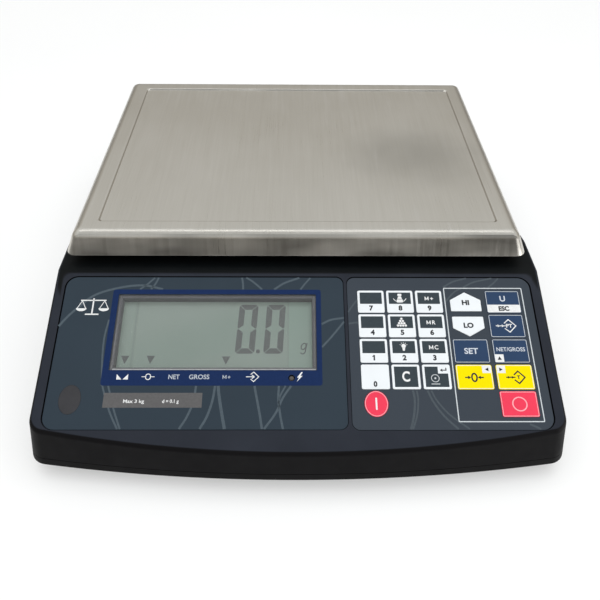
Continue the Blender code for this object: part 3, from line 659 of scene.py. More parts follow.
M_ZINC = milled_metal("m_zinc_steel", (0.58, 0.58, 0.56), 0.30, (900.0, 900.0, 900.0))
M_NICKEL = milled_metal("m_nickel_shell", (0.62, 0.60, 0.56), 0.28, (300.0, 300.0, 1800.0))
M_RUBBER = rubber("m_black_rubber", (0.014, 0.014, 0.014))
M_RUBBER_GREY = rubber("m_grey_rubber", (0.030, 0.030, 0.032), 0.75)
M_BOARD = circuit_board("m_circuit_board")
M_VIAL = plastic("m_vial", (0.34, 0.44, 0.06), 0.15, 0.5, 0.12, 200.0, 2000.0, 0.05)
M_BATTERY = plastic("m_battery_case", (0.030, 0.031, 0.036), 0.45, 0.3, 0.12, 50.0, 2000.0, 0.2)
M_SOCKET = plastic("m_socket_black", (0.012, 0.012, 0.013), 0.42, 0.3, 0.12, 80.0, 2500.0, 0.2)
M_CONTACT = milled_metal("m_contact_gold", (0.78, 0.60, 0.28), 0.25, (1500.0, 1500.0, 1500.0))
M_TERMINAL = milled_metal("m_terminal_tin", (0.66, 0.66, 0.65), 0.35, (1500.0, 1500.0, 1500.0))


# ---------------------------------------------------------------- prints
def letter_unit():
    c = bpy.data.curves.new("probe", "FONT")
    c.body = "H"
    ob = bpy.data.objects.new("probe", c)
    bpy.context.scene.collection.objects.link(ob)
    bpy.context.view_layer.update()
    height = ob.dimensions.y
    bpy.data.objects.remove(ob)
    bpy.data.curves.remove(c)
    return height


CAP_H = letter_unit()


class Print:
    """Thin layers of ink on a film or key, gathered into one mesh."""

    def __init__(self, name, top):
        self.name, self.top, self.bm, self.mats = name, top, bmesh.new(), []

    def slot(self, mat):
        if mat not in self.mats:
            self.mats.append(mat)
        return self.mats.index(mat)

    def heights(self, level):
        return self.top - 0.03, self.top + 0.018 + 0.012 * level

    def poly(self, pts, mat, level=0):
        add_prism(self.bm, pts, *self.heights(level), con, self.slot(mat))

    def band(self, left, right, mat, level=0, closed=False):
        """Strip between two rows of points, closed into a ring or not."""
        lo, hi = self.heights(level)
        index = self.slot(mat)
        v = {}
        for key, row in (("l", left), ("r", right)):
            for end, w in (("a", lo), ("b", hi)):
                v[key + end] = [self.bm.verts.new(con(p[0], p[1], w)) for p in row]
        n = len(left)
        made = []
        for i in range(n if closed else n - 1):
            j = (i + 1) % n
            made.append(self.bm.faces.new((v["lb"][i], v["lb"][j], v["rb"][j], v["rb"][i])))
            made.append(self.bm.faces.new((v["la"][j], v["la"][i], v["ra"][i], v["ra"][j])))
            made.append(self.bm.faces.new((v["la"][i], v["la"][j], v["lb"][j], v["lb"][i])))
            made.append(self.bm.faces.new((v["ra"][j], v["ra"][i], v["rb"][i], v["rb"][j])))
        if not closed:
            for i in (0, n - 1):
                made.append(self.bm.faces.new((v["la"][i], v["lb"][i], v["rb"][i], v["ra"][i])))
        for f in made:
            f.material_index = index

    def line(self, pts, width, mat, level=0, closed=False):
        """Stroke of one width, or of a width for each point, with mitred joints."""
        n = len(pts)
        widths = [width] * n if isinstance(width, (int, float)) else width
        left, right = [], []
        for i in range(n):
            p = Vector(pts[i])
            before = Vector(pts[i - 1]) if (closed or i > 0) else None
            after = Vector(pts[(i + 1) % n]) if (closed or i < n - 1) else None
            d0 = (p - before).normalized() if before is not None else None
            d1 = (after - p).normalized() if after is not None else None
            d0 = d1 if d0 is None else d0
            d1 = d0 if d1 is None else d1
            n0, n1 = Vector((-d0.y, d0.x)), Vector((-d1.y, d1.x))
            m = (n0 + n1)
            m = m.normalized() if m.length > 1e-6 else n0
            k = widths[i] / 2 / max(0.45, m.dot(n0))
            left.append(tuple(p + m * k))
            right.append(tuple(p - m * k))
        self.band(left, right, mat, level, closed)

    def disc(self, u, v, d, mat, level=0, segs=24):
        self.poly(circle(u, v, d, segs), mat, level)

    def ring(self, u, v, d, width, mat, level=0, segs=36, h=None):
        h = d if h is None else h
        self.line(ellipse(u, v, d, h, segs), width, mat, level, True)

    def text(self, body, u, v, height, mat, bold=0.0, slant=0.0, level=1, wide=1.0, space=1.0, width=None):
        """Text centred on (u, v) with capitals of the given height."""
        c = bpy.data.curves.new("text", "FONT")
        c.body = body
        c.size = height / CAP_H
        c.space_character = space
        c.shear = slant
        c.offset = bold
        c.resolution_u = 4
        c.extrude = 0.01
        ob = bpy.data.objects.new("text", c)
        bpy.context.scene.collection.objects.link(ob)
        bpy.context.view_layer.update()
        graph = bpy.context.evaluated_depsgraph_get()
        me = bpy.data.meshes.new_from_object(ob.evaluated_get(graph))
        xs = [q.co.x for q in me.vertices]
        ys = [q.co.y for q in me.vertices]
        cx = (min(xs) + max(xs)) / 2
        cy = (min(ys) + max(ys)) / 2 if body in ("g", "+") else height / 2
        if width is not None:
            wide = width / (max(xs) - min(xs))
        lo, hi = self.heights(level)
        index = self.slot(mat)
        made = {}
        bm = bmesh.new()
        bm.from_mesh(me)
        bmesh.ops.remove_doubles(bm, verts=bm.verts[:], dist=1e-5)
        for q in bm.verts:
            w = hi if q.co.z > 0 else lo
            made[q] = self.bm.verts.new(con(u + (q.co.x - cx) * wide, v - (q.co.y - cy), w))
        for f in bm.faces:
            try:
                g = self.bm.faces.new([made[q] for q in f.verts])
                g.material_index = index
            except ValueError:
                pass
        bm.free()
        bpy.data.meshes.remove(me)
        bpy.data.objects.remove(ob)
        bpy.data.curves.remove(c)

    def done(self, body, slot, *cuts):
        ob = make(self.name, self.bm, self.mats)
        for c in cuts:
            cut(ob, c)
        return piece(ob, body, weighted=False)


def letter_m(p, u, v, w, h, t, mat, level):
    """Capital M from two uprights and two slanting strokes."""
    for s in (-1, 1):
        p.line([(u + s * (w / 2 - t / 2), v + h / 2), (u + s * (w / 2 - t / 2), v - h / 2)], t, mat, level)
        p.line([(u + s * (w / 2 - t * 0.35), v - h / 2 + t * 0.2), (u, v + h * 0.30)], t * 0.85, mat, level + 0.3)


def smooth_path(points, steps=8):
    """Points along a smooth curve through the given ones."""
    p = [Vector(q) for q in points]
    p = [2 * p[0] - p[1]] + p + [2 * p[-1] - p[-2]]
    out = []
    for i in range(1, len(p) - 2):
        for k in range(steps):
            t = k / steps
            out.append(tuple(0.5 * (2 * p[i] + (p[i + 1] - p[i - 1]) * t
                                    + (2 * p[i - 1] - 5 * p[i] + 4 * p[i + 1] - p[i + 2]) * t * t
                                    + (3 * p[i] - p[i - 1] - 3 * p[i + 1] + p[i + 2]) * t ** 3)))
    out.append(tuple(p[-2]))
    return out


# ---------------------------------------------------------------- housing shells
def plan_outline(plan, inset, front_segs=66, corner_segs=10, side_rows=4):
    half_w, rear, front, bow, rf, rb = plan
    hx, back, bow_r = half_w - inset, rear - inset, bow - inset
    bow_cy = front + bow
    rf, rb = rf - inset, rb - inset
    cy = bow_cy - math.sqrt((bow_r - rf) ** 2 - (hx - rf) ** 2)
    tilt = math.atan2(hx - rf, bow_cy - cy)
    pts = []
    for k in range(front_segs + 1):
        a = -tilt + 2 * tilt * k / front_segs
        pts.append((bow_r * math.sin(a), bow_cy - bow_r * math.cos(a)))
    for k in range(1, corner_segs + 1):
        a = (math.pi / 2 - tilt) * k / corner_segs
        pts.append((hx - rf + rf * math.sin(tilt + a), cy - rf * math.cos(tilt + a)))
    rows = [cy + (BEND_Y - cy) * k / side_rows for k in range(1, side_rows + 1)]
    pts += [(hx, y) for y in rows]
    pts += [(hx - d, y) for y, d in SHOULDER]
    hr = hx - REAR_TAPER
    for k in range(corner_segs + 1):
        a = math.pi / 2 * k / corner_segs
        pts.append((hr - rb + rb * math.cos(a), back - rb + rb * math.sin(a)))
    for k in range(corner_segs + 1):
        a = math.pi / 2 + math.pi / 2 * k / corner_segs
        pts.append((-hr + rb + rb * math.cos(a), back - rb + rb * math.sin(a)))
    pts += [(-hx + d, y) for y, d in SHOULDER[::-1]]
    pts += [(-hx, y) for y in rows[::-1]]
    for k in range(corner_segs):
        a = (math.pi / 2 - tilt) * (corner_segs - k) / corner_segs
        pts.append((-hx + rf - rf * math.sin(tilt + a), cy - rf * math.cos(tilt + a)))
    return pts


def console_z(y, drop=0.0):
    return DECK_Z - drop / COS - TAN * (BEND_Y - y)


def body_solid(name, inset, z_low, top_drop, console_drop, **segs):
    top = DECK_Z - top_drop
    bend = BEND_Y - (console_z(BEND_Y, console_drop) - top) / TAN if top_drop else BEND_Y
    bend = min(bend, BEND_Y)
    crown = []
    for x, y in plan_outline(CROWN_PLAN, inset, **segs):
        y = bend if abs(y - BEND_Y) < 1e-6 else y
        crown.append((x, y, top if y >= bend - 1e-6 else min(top, console_z(y, console_drop))))
    foot = [(x, y, z_low) for x, y in plan_outline(FOOT_PLAN, inset, **segs)]
    bm = bmesh.new()
    a = [bm.verts.new(Vector(p) * MM) for p in crown]
    b = [bm.verts.new(Vector(p) * MM) for p in foot]
    n = len(a)
    deck = [v for v, p in zip(a, crown) if p[1] >= bend - 1e-6]
    slope = [i for i, p in enumerate(crown) if p[1] <= bend + 1e-6]
    split = next(k for k in range(1, len(slope)) if slope[k] != slope[k - 1] + 1)
    bm.faces.new(deck)
    bm.faces.new([a[i] for i in slope[split:] + slope[:split]])
    bm.faces.new(b[::-1])
    for i in range(n):
        j = (i + 1) % n
        bm.faces.new((b[i], b[j], a[j], a[i]))
    return make(name, bm)


def slab(z0, z1):
    return prism("slab", rect(-200.0, 200.0, -220.0, 220.0), z0, z1)


shell = body_solid("upper_shell", 0.0, BASE_Z, 0.0, 0.0)
bm = bmesh.new()
bm.from_mesh(shell.data)
rim = []
for e in bm.edges:
    fa, fb = e.link_faces
    if min(v.co.z for v in e.verts) < 0.02:
        continue
    if e.calc_face_angle(0.0) > math.radians(50) and max(fa.normal.z, fb.normal.z) > 0.8:
        rim.append(e)
bmesh.ops.bevel(bm, geom=rim, offset=TOP_EDGE_R * MM, offset_type="OFFSET", segments=6, profile=0.5,
                affect="EDGES", clamp_overlap=False)
foot_edges = [e for e in bm.edges if max(v.co.z for v in e.verts) < (BASE_Z + 0.1) * MM]
bmesh.ops.bevel(bm, geom=foot_edges, offset=0.9 * MM, offset_type="OFFSET", segments=4, profile=0.5,
                affect="EDGES", clamp_overlap=False)
bmesh.ops.recalc_face_normals(bm, faces=bm.faces[:])
bm.to_mesh(shell.data)
bm.free()
tray = bpy.data.objects.new("lower_shell", shell.data.copy())
bpy.context.scene.collection.objects.link(tray)
shell.data.materials.append(M_SHELL)
tray.data.materials.append(M_BASE)
cut(shell, slab(-10.0, PART_LINE_Z + SHELL_GAP))
cut(tray, slab(PART_LINE_Z, 120.0))

few = dict(front_segs=22, corner_segs=4)
cut(shell, body_solid("hollow", WALL, BASE_Z - 1.0, 6.5, CONSOLE_T, **few))
cut(shell, prism("deck_well", round_rect(-138.0, 138.0, -46.0, 162.0, 8.0, 10), 68.0, DECK_Z + 5.0))
cut(shell, prism("post_hole", round_rect(POST_X - 19.0, POST_X + 19.0, PLATTER_CY - 19.0, PLATTER_CY + 19.0,
                                         3.0, 6), 55.0, DECK_Z + 5.0))
bm = bmesh.new()
for x, y in SCREW_AT:
    top = 67.0 if y > 0 else console_z(y, CONSOLE_T) + 3.2
    add_prism(bm, circle(x, y, 9.0, 20), 20.0, top, world)
fuse(shell, make("bosses", bm))
u0, u1, v0, v1 = DISPLAY_RECESS
cut(shell, prism("display_pocket", round_rect(u0, u1, v0, v1, (8.0, 5.0, 5.0, 8.0), 10), -DISPLAY_RECESS_DEPTH, 6.0, con))
u0, u1, v0, v1 = KEYPAD_RECESS
cut(shell, prism("keypad_pocket", round_rect(u0, u1, v0, v1, (5.0, 8.0, 8.0, 5.0), 10), -KEYPAD_RECESS_DEPTH, 6.0, con))
wu0, wu1, wv0, wv1 = WINDOW
bm = bmesh.new()
add_prism(bm, rect(wu0 + 1.2, wu1 - 1.2, wv0 + 1.2, wv1 - 1.2), -6.0, 2.0, con)
add_prism(bm, circle(*LED_AT, 4.2, 24), -6.0, 2.0, con)
add_prism(bm, ellipse(*LEVEL_AT, LEVEL_SIZE[0] - 2.0, LEVEL_SIZE[1] - 2.0, 32), -6.0, 2.0, con)
for x, y in SCREW_AT:
    add_prism(bm, circle(x, y, 4.4, 16), 17.0, 40.0, world)
add_prism(bm, circle(INLET_X, INLET_Z, 9.2, 40), 170.0, 184.0, along_y)
add_prism(bm, round_rect(SERIAL_X - 8.9, SERIAL_X + 8.9, SERIAL_Z - 4.6, SERIAL_Z + 4.6, 1.2, 4), 170.0, 184.0, along_y)
cut(shell, make("openings", bm))


def pocket_edge(e):
    """Upper edges of the two console pockets and of the deck well."""
    fa, fb = e.link_faces
    if e.calc_face_angle(0.0) < math.radians(70):
        return False
    a, b = e.verts[0].co, e.verts[1].co
    on_console = abs(console_w(a)) < 0.01 and abs(console_w(b)) < 0.01 and max(a.y, b.y) < (BEND_Y - 2.0) * MM
    on_deck = (abs(a.z - DECK_Z * MM) < 1e-5 and abs(b.z - DECK_Z * MM) < 1e-5 and abs(a.x) < 0.1385
               and -0.0465 < a.y < 0.1625)
    return on_console or on_deck


round_edges(shell, pocket_edge, 0.4, 3)
piece(shell, "base", ("upper_housing",), 40.0)

# lower shell: tray, foot cups, pillars, battery bay
cut(tray, prism("hollow", plan_outline(FOOT_PLAN, WALL + 0.3, 22, 4), BASE_Z + 2.5, PART_LINE_Z + 5.0))
FLOOR = BASE_Z + 2.0
bm = bmesh.new()
for x, y in FOOT_AT:
    add_prism(bm, circle(x, y, 35.0, 48), FLOOR, 16.7, world)
fuse(tray, make("foot_cups", bm))
bm = bmesh.new()
for x, y in FOOT_AT:
    add_prism(bm, circle(x, y, 13.0, 24), 15.5, 25.0, world)
for x, y in SCREW_AT:
    add_prism(bm, circle(x, y, 12.0, 24), FLOOR, 19.7, world)
add_prism(bm, rect(-67.0, -37.0, PLATTER_CY - 15.0, PLATTER_CY + 15.0), FLOOR, CELL_Z[0] - 0.3, world)
for x, y in ((-121.0, -46.0), (-11.0, -46.0), (-121.0, 26.0), (-11.0, 26.0)):
    add_prism(bm, circle(x, y, 6.0, 16), FLOOR, 21.7, world)
level_xy = (LEVEL_AT[0], BEND_Y - LEVEL_AT[1] * COS)
add_prism(bm, circle(level_xy[0] - 3.0, level_xy[1] - 2.0, 9.0, 16), FLOOR, 25.9, world)
fuse(tray, make("pillars", bm))
fuse(tray, prism("battery_bay", rect(-60.0, 60.0, 88.0, 172.0), FLOOR, 54.0))
cut(tray, prism("battery_room", rect(-58.0, 58.0, 90.0, 170.0), BASE_Z + 2.5, 60.0))
bm = bmesh.new()
add_prism(bm, round_rect(DOOR[0] - 0.5, DOOR[1] + 0.5, DOOR[2] - 0.5, DOOR[3] + 0.7, 2.0, 5), 5.0, 20.0, world)
for x, y in FOOT_AT:
    add_prism(bm, circle(x, y, 30.0, 56), 5.0, 14.2, world)
for x, y in SCREW_AT:
    add_prism(bm, circle(x, y, 8.2, 32), 5.0, 14.1, world)
cut(tray, make("undersides", bm))
bm = bmesh.new()
for x, y in FOOT_AT:
    add_prism(bm, circle(x, y, 6.8, 24), 10.0, 30.0, world)
for x, y in SCREW_AT:
    add_prism(bm, circle(x, y, 4.4, 20), 13.0, 22.0, world)
cut(tray, make("bores", bm))
# shallow relief moulded into the underside: a raised grid of stiffening lines, cut as panels between them
bm = bmesh.new()
for x0, x1, y0, y1 in ((-96.0, -64.0, 96.0, 160.0), (64.0, 96.0, 96.0, 160.0), (-96.0, -34.0, -60.0, 80.0),
                       (-30.0, 30.0, -60.0, 80.0), (34.0, 96.0, -60.0, 80.0), (-96.0, -34.0, -150.0, -64.0),
                       (-30.0, 30.0, -150.0, -64.0), (34.0, 96.0, -150.0, -64.0)):
    add_prism(bm, round_rect(x0, x1, y0, y1, 3.0, 5), 5.0, BASE_Z + 0.5, world)
cut(tray, make("relief", bm))


def under_edge(e):
    if e.calc_face_angle(0.0) < math.radians(70):
        return False
    a, b = e.verts[0].co, e.verts[1].co
    return abs(a.z - BASE_Z * MM) < 1e-5 and abs(b.z - BASE_Z * MM) < 1e-5


round_edges(tray, under_edge, 0.3, 3)
piece(tray, "base", ("lower_housing",), 40.0)


# ---------------------------------------------------------------- weighing platter
def ring_at(grow, z, corner, segs=14):
    hx, hy = PLATTER_FLAT[0] + grow, PLATTER_FLAT[1] + grow
    r = max(corner, 0.6)
    shift = PANEL_SHIFT if grow < -6.0 else 0.0
    return [(PLATTER_CX + shift + x, PLATTER_CY + y, z) for x, y in round_rect(-hx, hx, -hy, hy, r, segs)]


def platter_profile(off, fold_r):
    """(grow, z) of the sheet's outer face, or of its inner face when off is the thickness."""
    panel_g = PLATTER_PANEL[0] - PLATTER_FLAT[0]
    run, fall = PLATTER_SKIRT_FLARE - 1.5, PLATTER_TOP_Z - 1.6 - PLATTER_SKIRT_Z
    lean = math.atan2(run, fall)
    meet = 1.5 - 1.6 * run / fall
    top = PLATTER_TOP_Z - off
    foot_g = PLATTER_SKIRT_FLARE - off / math.cos(lean)
    meet_in = meet - off * (1 - math.sin(lean)) / math.cos(lean)
    step = 0.0 if off == 0 else 0.5
    pts = [(panel_g - 2.0, top - 1.0), (panel_g + step * 0.6, top - 1.0), (panel_g + 1.0 + step * 0.6, top),
           (meet_in, top), (foot_g, PLATTER_SKIRT_Z)]
    return fillet(pts, [0, 0.3, 1.2, fold_r, 0], 10, closed=False)


def corner_for(grow):
    return max(2.6, 3.4 + 0.40 * (grow + 0.4))


outer = platter_profile(0.0, 7.0)
inner = platter_profile(SHEET_T, 6.0)
hem = outer[-1], inner[-1]
hem_pts = []
for k in range(1, 6):
    a = math.pi * k / 6
    mid_g, half = (hem[0][0] + hem[1][0]) / 2, (hem[0][0] - hem[1][0]) / 2
    hem_pts.append((mid_g + half * math.cos(a), PLATTER_SKIRT_Z + 0.0 + 0.5 - 0.5 * math.sin(a)))
rings = [ring_at(g, z, corner_for(g)) for g, z in outer[:-1]]
rings.append(ring_at(outer[-1][0] - 0.22, PLATTER_SKIRT_Z + 0.5, corner_for(outer[-1][0])))
rings += [ring_at(g - 0.1, z, corner_for(g)) for g, z in hem_pts]
rings += [ring_at(g, z, corner_for(g) - 0.4) for g, z in inner[-2::-1]]
platter = loft("platter_plate", rings, M_STEEL)
piece(platter, "platter", ("weighing_platter",), 50.0)


# ---------------------------------------------------------------- display film and window
u0, u1, v0, v1 = DISPLAY_RECESS
film = cap("display_film", round_rect(u0 + 0.85, u1 - 0.35, v0 + 0.65, v1 - 0.4, (7.2, 4.7, 4.6, 7.4), 10),
           LABEL_TOP - 1.2, LABEL_TOP, con, M_FILM, 0.3, 3)
bm = bmesh.new()
add_prism(bm, round_rect(wu0 - 0.08, wu1 + 0.08, wv0 - 0.08, wv1 + 0.08, 0.4, 3), -4.0, 2.0, con)
add_prism(bm, circle(*LED_AT, 4.0, 28), -4.0, 2.0, con)
add_prism(bm, ellipse(*LEVEL_AT, LEVEL_SIZE[0] + 0.2, LEVEL_SIZE[1] + 0.2, 56), -4.0, 2.0, con)
cut(film, make("film_openings", bm))
piece(film, "base", ("display_label",), 34.0)

window = cap("display_window", round_rect(wu0, wu1, wv0, wv1, 0.35, 3), -1.5, LABEL_TOP, con, M_WINDOW, 0.15, 2)
piece(window, "base", ("lcd_window",))

# bezel: flat border under the window, then a deep wall down to the glass
frame_rows = []
for inset, w in ((0.1, -1.58), (1.9, -1.58), (2.12, -1.64), (2.2, -1.82), (2.5, GLASS_W + 0.05),
                 (1.5, GLASS_W + 0.05), (1.5, -1.78), (0.1, -1.78)):
    frame_rows.append([(u, v, w) for u, v in round_rect(wu0 + inset, wu1 - inset, wv0 + inset, wv1 - inset, 0.3, 3)])
bezel = loft("display_bezel", frame_rows, M_BEZEL, con, closed=True)
piece(bezel, "base", ("lcd_module",), 30.0)
glass = cap("display_glass", round_rect(wu0 + 1.7, wu1 - 1.7, wv0 + 1.7, wv1 - 1.7, 0.4, 3), -7.3, GLASS_W, con, M_LCD, 0.2, 2)
piece(glass, "base", ("lcd_module",))

# painted highlights: thin pale strips along the bottom and the sides of the window opening stand in for light caught on
# the bezel's edges
bm = bmesh.new()
add_prism(bm, rect(wu0 + 1.6, wu1 - 0.5, wv1 - 1.30, wv1 - 0.62), -1.62, -1.50, con)
lip_highlight = make("bezel_lip_highlight", bm, M_LIP_HIGHLIGHT)
piece(lip_highlight, "base")
bm = bmesh.new()
add_prism(bm, rect(wu0 + 0.7, wu0 + 1.45, wv0 + 0.9, wv1 - 1.6), -1.62, -1.50, con)
add_prism(bm, rect(wu1 - 1.35, wu1 - 0.75, wv0 + 0.9, wv1 - 1.6), -1.62, -1.50, con)
lip_highlight = make("bezel_side_lip_highlights", bm, M_LIP_HIGHLIGHT_DIM)
piece(lip_highlight, "base")

level = cap("level_lens", ellipse(*LEVEL_AT, LEVEL_SIZE[0], LEVEL_SIZE[1], 56), -1.5, LABEL_TOP + 0.02, con,
            M_LEVEL_WINDOW, 0.3, 3)
piece(level, "base", ("level_window",))

rings = []
for r, w in ((1.7, -7.6), (1.7, -1.9), (1.66, -1.5), (1.55, -1.2), (1.3, -0.85), (0.95, -0.64), (0.5, -0.53), (0.15, -0.5)):
    rings.append([(u, v, w) for u, v in circle(*LED_AT, 2 * r, 28)])
led = loft("charge_lens", rings, M_LED, con)
piece(led, "base", ("charge_led",), 60.0)


# segments on the glass
def segment_zero(p, u, v, wdt, hgt, slant, t=3.65, g=0.26):
    """Outline-style zero of six segments with mitred ends."""
    def place(pts, mirror_u=False, mirror_v=False):
        out = []
        for x, y in pts:
            x = wdt - x if mirror_u else x
            y = hgt - y if mirror_v else y
            out.append((u + x - slant * y / hgt, v + y))
        return out
    across = [(1.9, 0.0), (wdt - 1.9, 0.0), (wdt - 0.95, 0.35), (wdt - 0.62 - g, 0.62), (wdt - t - 0.1 + 0.3, t - 0.5),
              (wdt - t - 0.3, t - 0.15), (t + 0.3, t - 0.15), (t + 0.1 - 0.3, t - 0.5), (0.62 + g, 0.62), (0.95, 0.35)]
    upright = [(0.62, 0.62 + g), (0.35, 0.95), (0.0, 1.9), (0.0, hgt / 2 - 1.1), (0.5, hgt / 2 - g), (0.9, hgt / 2 - g),
               (t, hgt / 2 - 2.5), (t, t + 0.5), (t - 0.35, t - 0.25)]
    for mv in (False, True):
        p.poly(place(across, False, mv), M_SEGMENT)
        for mu in (False, True):
            p.poly(place(upright, mu, mv), M_SEGMENT)


seg = Print("display_segments", GLASS_W)
segment_zero(seg, -37.35, 22.75, 12.0, 33.55, 1.95)
segment_zero(seg, -19.97, 22.75, 11.9, 33.55, 1.85)
seg.disc(-25.05, 54.8, 2.6, M_SEGMENT)
# italic unit mark: bowl, stem and tail
gu, gv = 2.9, 53.0
seg.line([(gu + 0.15 + 1.45 * math.cos(a) - 0.5 * math.sin(a), gv - 1.55 + 2.05 * math.sin(a)) for a in
          [2 * math.pi * k / 28 for k in range(28)]], 0.72, M_SEGMENT, 0, True)
seg.line(smooth_path([(gu + 2.25, gv - 3.75), (gu + 1.55, gv - 0.4), (gu + 1.0, gv + 2.1), (gu + 0.1, gv + 3.3),
                      (gu - 1.1, gv + 3.3), (gu - 1.75, gv + 2.55)], 5), 0.72, M_SEGMENT, 1)
for tu, tv in ((-105.97, 60.4), (-90.4, 60.4), (-44.4, 60.8)):
    seg.poly([(tu - 2.55, tv - 2.65), (tu + 2.55, tv - 2.65), (tu, tv + 2.75)], M_SEGMENT)
seg.done("base", "lcd")

# ---------------------------------------------------------------- print on the display film
art = Print("display_film_curves", LABEL_TOP)
for pts, wd in ((((-147.6, 40.5), (-143.2, 34.0), (-138.0, 28.0), (-128.0, 18.6), (-112.0, 13.2), (-98.0, 11.9), (-86.0, 14.6)), 1.5),
                (((-100.5, 14.6), (-96.0, 10.8), (-91.8, 6.2)), 1.2), (((-93.5, 14.6), (-91.0, 10.4), (-89.4, 6.2)), 1.2),
                (((-36.2, 6.1), (-35.5, 10.2), (-35.2, 14.6)), 1.2), (((-33.5, 6.1), (-29.0, 9.2), (-23.2, 14.6)), 1.2),
                (((-15.5, 14.6), (-9.0, 10.0), (0.5, 6.2)), 1.4), (((1.2, 14.6), (4.0, 10.6), (7.5, 6.2)), 1.1),
                (((14.2, 38.9), (20.0, 36.0), (28.1, 34.6)), 1.3), (((14.2, 54.3), (20.0, 47.6), (28.1, 37.2)), 1.2),
                (((-117.3, 36.0), (-118.6, 48.0), (-118.0, 62.0), (-116.0, 79.2)), 1.1),
                (((-115.6, 79.2), (-112.4, 88.0), (-108.6, 96.5), (-103.8, 105.2)), 1.1),
                (((-112.2, 79.2), (-109.6, 86.5), (-106.6, 95.0), (-102.2, 105.2)), 1.1),
                (((-60.6, 79.2), (-61.4, 88.5), (-64.6, 98.0), (-68.6, 105.2)), 1.3),
                (((-49.4, 79.2), (-50.4, 88.0), (-53.0, 97.6), (-56.8, 105.2)), 1.4),
                (((-47.6, 79.2), (-46.6, 86.0), (-44.6, 96.0), (-42.6, 105.2)), 1.8),
                (((-26.2, 79.2), (-24.4, 88.0), (-22.6, 97.0), (-21.2, 105.2)), 1.4),
                (((-11.8, 79.2), (-12.0, 88.0), (-10.8, 97.0), (-9.2, 105.2)), 1.3),
                (((-4.6, 79.2), (-9.4, 86.6), (-13.6, 96.0), (-20.0, 105.2)), 1.3),
                (((-7.8, 79.2), (-10.8, 85.0), (-12.0, 90.0)), 1.0)):
    path = smooth_path(pts, 8)
    art.line(path, wd, M_INK_CURVE)
art.done("base", "label")

pr = Print("display_film_print", LABEL_TOP)
# navy frame round the window
rows = [round_rect(-117.0, 14.0, 14.8, 79.0, 1.6, 5), round_rect(wu0 - 0.08, wu1 + 0.08, wv0 - 0.08, wv1 + 0.08, 0.4, 5)]
pr.band(rows[0], rows[1], M_INK_NAVY, 1, True)
W = M_INK_WHITE
# stable mark
pr.poly([(-108.0, 71.8), (-104.9, 75.2), (-108.0, 75.2)], W, 2)
pr.poly([(-101.2, 71.8), (-101.2, 75.2), (-104.3, 75.2)], W, 2)
# zero mark
pr.line([(-93.2, 73.5), (-91.0, 73.5)], 0.42, W, 2)
pr.line([(-87.7, 73.5), (-85.5, 73.5)], 0.42, W, 2)
pr.line(round_rect(-90.75, -87.95, 71.75, 75.25, 1.3, 5), 0.5, W, 2, True)
pr.text("NET", -74.0, 73.55, 2.75, M_INK_SOFT, 0.06, 0, 2, width=6.6)
pr.text("GROSS", -59.1, 73.55, 2.75, M_INK_SOFT, 0.06, 0, 2, width=12.0)
letter_m(pr, -44.1, 73.6, 2.3, 2.3, 0.42, M_INK_SOFT, 2)
pr.text("+", -41.4, 73.7, 2.2, M_INK_SOFT, 0.06, 0, 2)
# tare mark
pr.line([(-31.4, 73.5), (-26.4, 73.5)], 0.5, W, 2)
pr.line([(-27.9, 72.3), (-26.4, 73.5), (-27.9, 74.7)], 0.5, W, 2)
pr.line([(-28.6, 72.0), (-26.8, 70.5), (-23.8, 73.5), (-26.8, 76.5), (-28.6, 75.0)], 0.46, W, 2)
# lightning mark
pr.poly([(1.4, 70.6), (-1.1, 74.0), (0.1, 74.0), (-1.2, 76.6), (2.2, 72.9), (0.9, 72.9), (2.4, 70.6)], W, 2)
# capacity plate
pr.poly(rect(-114.0, -56.5, 83.5, 92.5), M_INK_PLATE, 1)
pr.text("Max 3 kg", -96.2, 88.6, 2.0, W, 0.05, 0, 2, width=12.2)
pr.text("d = 0.1 g", -74.8, 88.6, 2.0, W, 0.05, 0, 2, width=9.6)
# plain balance pictogram, white
pr.line([(-136.6, 22.6), (-120.6, 22.6)], 0.75, W, 1)
pr.line([(-128.6, 21.2), (-128.6, 32.0)], 0.9, W, 1)
pr.line([(-132.8, 32.3), (-124.4, 32.3)], 0.9, W, 1)
for cu in (-135.6, -121.6):
    pr.line([(cu - 2.7, 28.2), (cu, 22.9), (cu + 2.7, 28.2)], 0.45, W, 1)
    bowl = [(cu + 3.3 * math.cos(a), 28.2 + 2.0 * math.sin(a)) for a in [math.pi * k / 10 for k in range(11)]]
    pr.poly(bowl, W, 1)
led_hole = prism("led_hole", circle(*LED_AT, 4.0, 28), -3.0, 2.0, con)
pr.done("base", "label", led_hole)

# ---------------------------------------------------------------- keypad film
u0, u1, v0, v1 = KEYPAD_RECESS
pad = cap("keypad_film", round_rect(u0 + 0.35, u1 - 0.85, v0 + 0.65, v1 - 0.4, (4.7, 7.2, 7.4, 4.6), 10),
          LABEL_TOP - 1.1, LABEL_TOP, con, M_FILM_KEYS, 0.3, 3)


def key_rect(u, v, w, h, grow=0.0):
    return round_rect(u - grow, u + w + grow, v - grow, v + h + grow, max(0.3, KEY_CORNER_R + grow), 5)


def key_house(u, v, w, h, up, grow=0.0, r=0.5):
    g = grow
    shoulder = 0.42 * h
    pts = [(u - g, v + shoulder - 0.4 * g), (u + w / 2, v - 1.1 * g), (u + w + g, v + shoulder - 0.4 * g),
           (u + w + g, v + h + g), (u - g, v + h + g)]
    if not up:
        pts = [(a, 2 * v + h - b) for a, b in pts][::-1]
    return fillet(pts, r, 3)


def grid(col, row):
    return (KEY_U0 + col * KEY_PITCH_U, KEY_V0 + row * KEY_PITCH_V, KEY_W, KEY_H)


def wide(col, row):
    return (KEY_A_U if col == 0 else KEY_B_U, KEY_V0 + 0.1 + row * KEY_PITCH_V, KEY_AB_W, KEY_H)


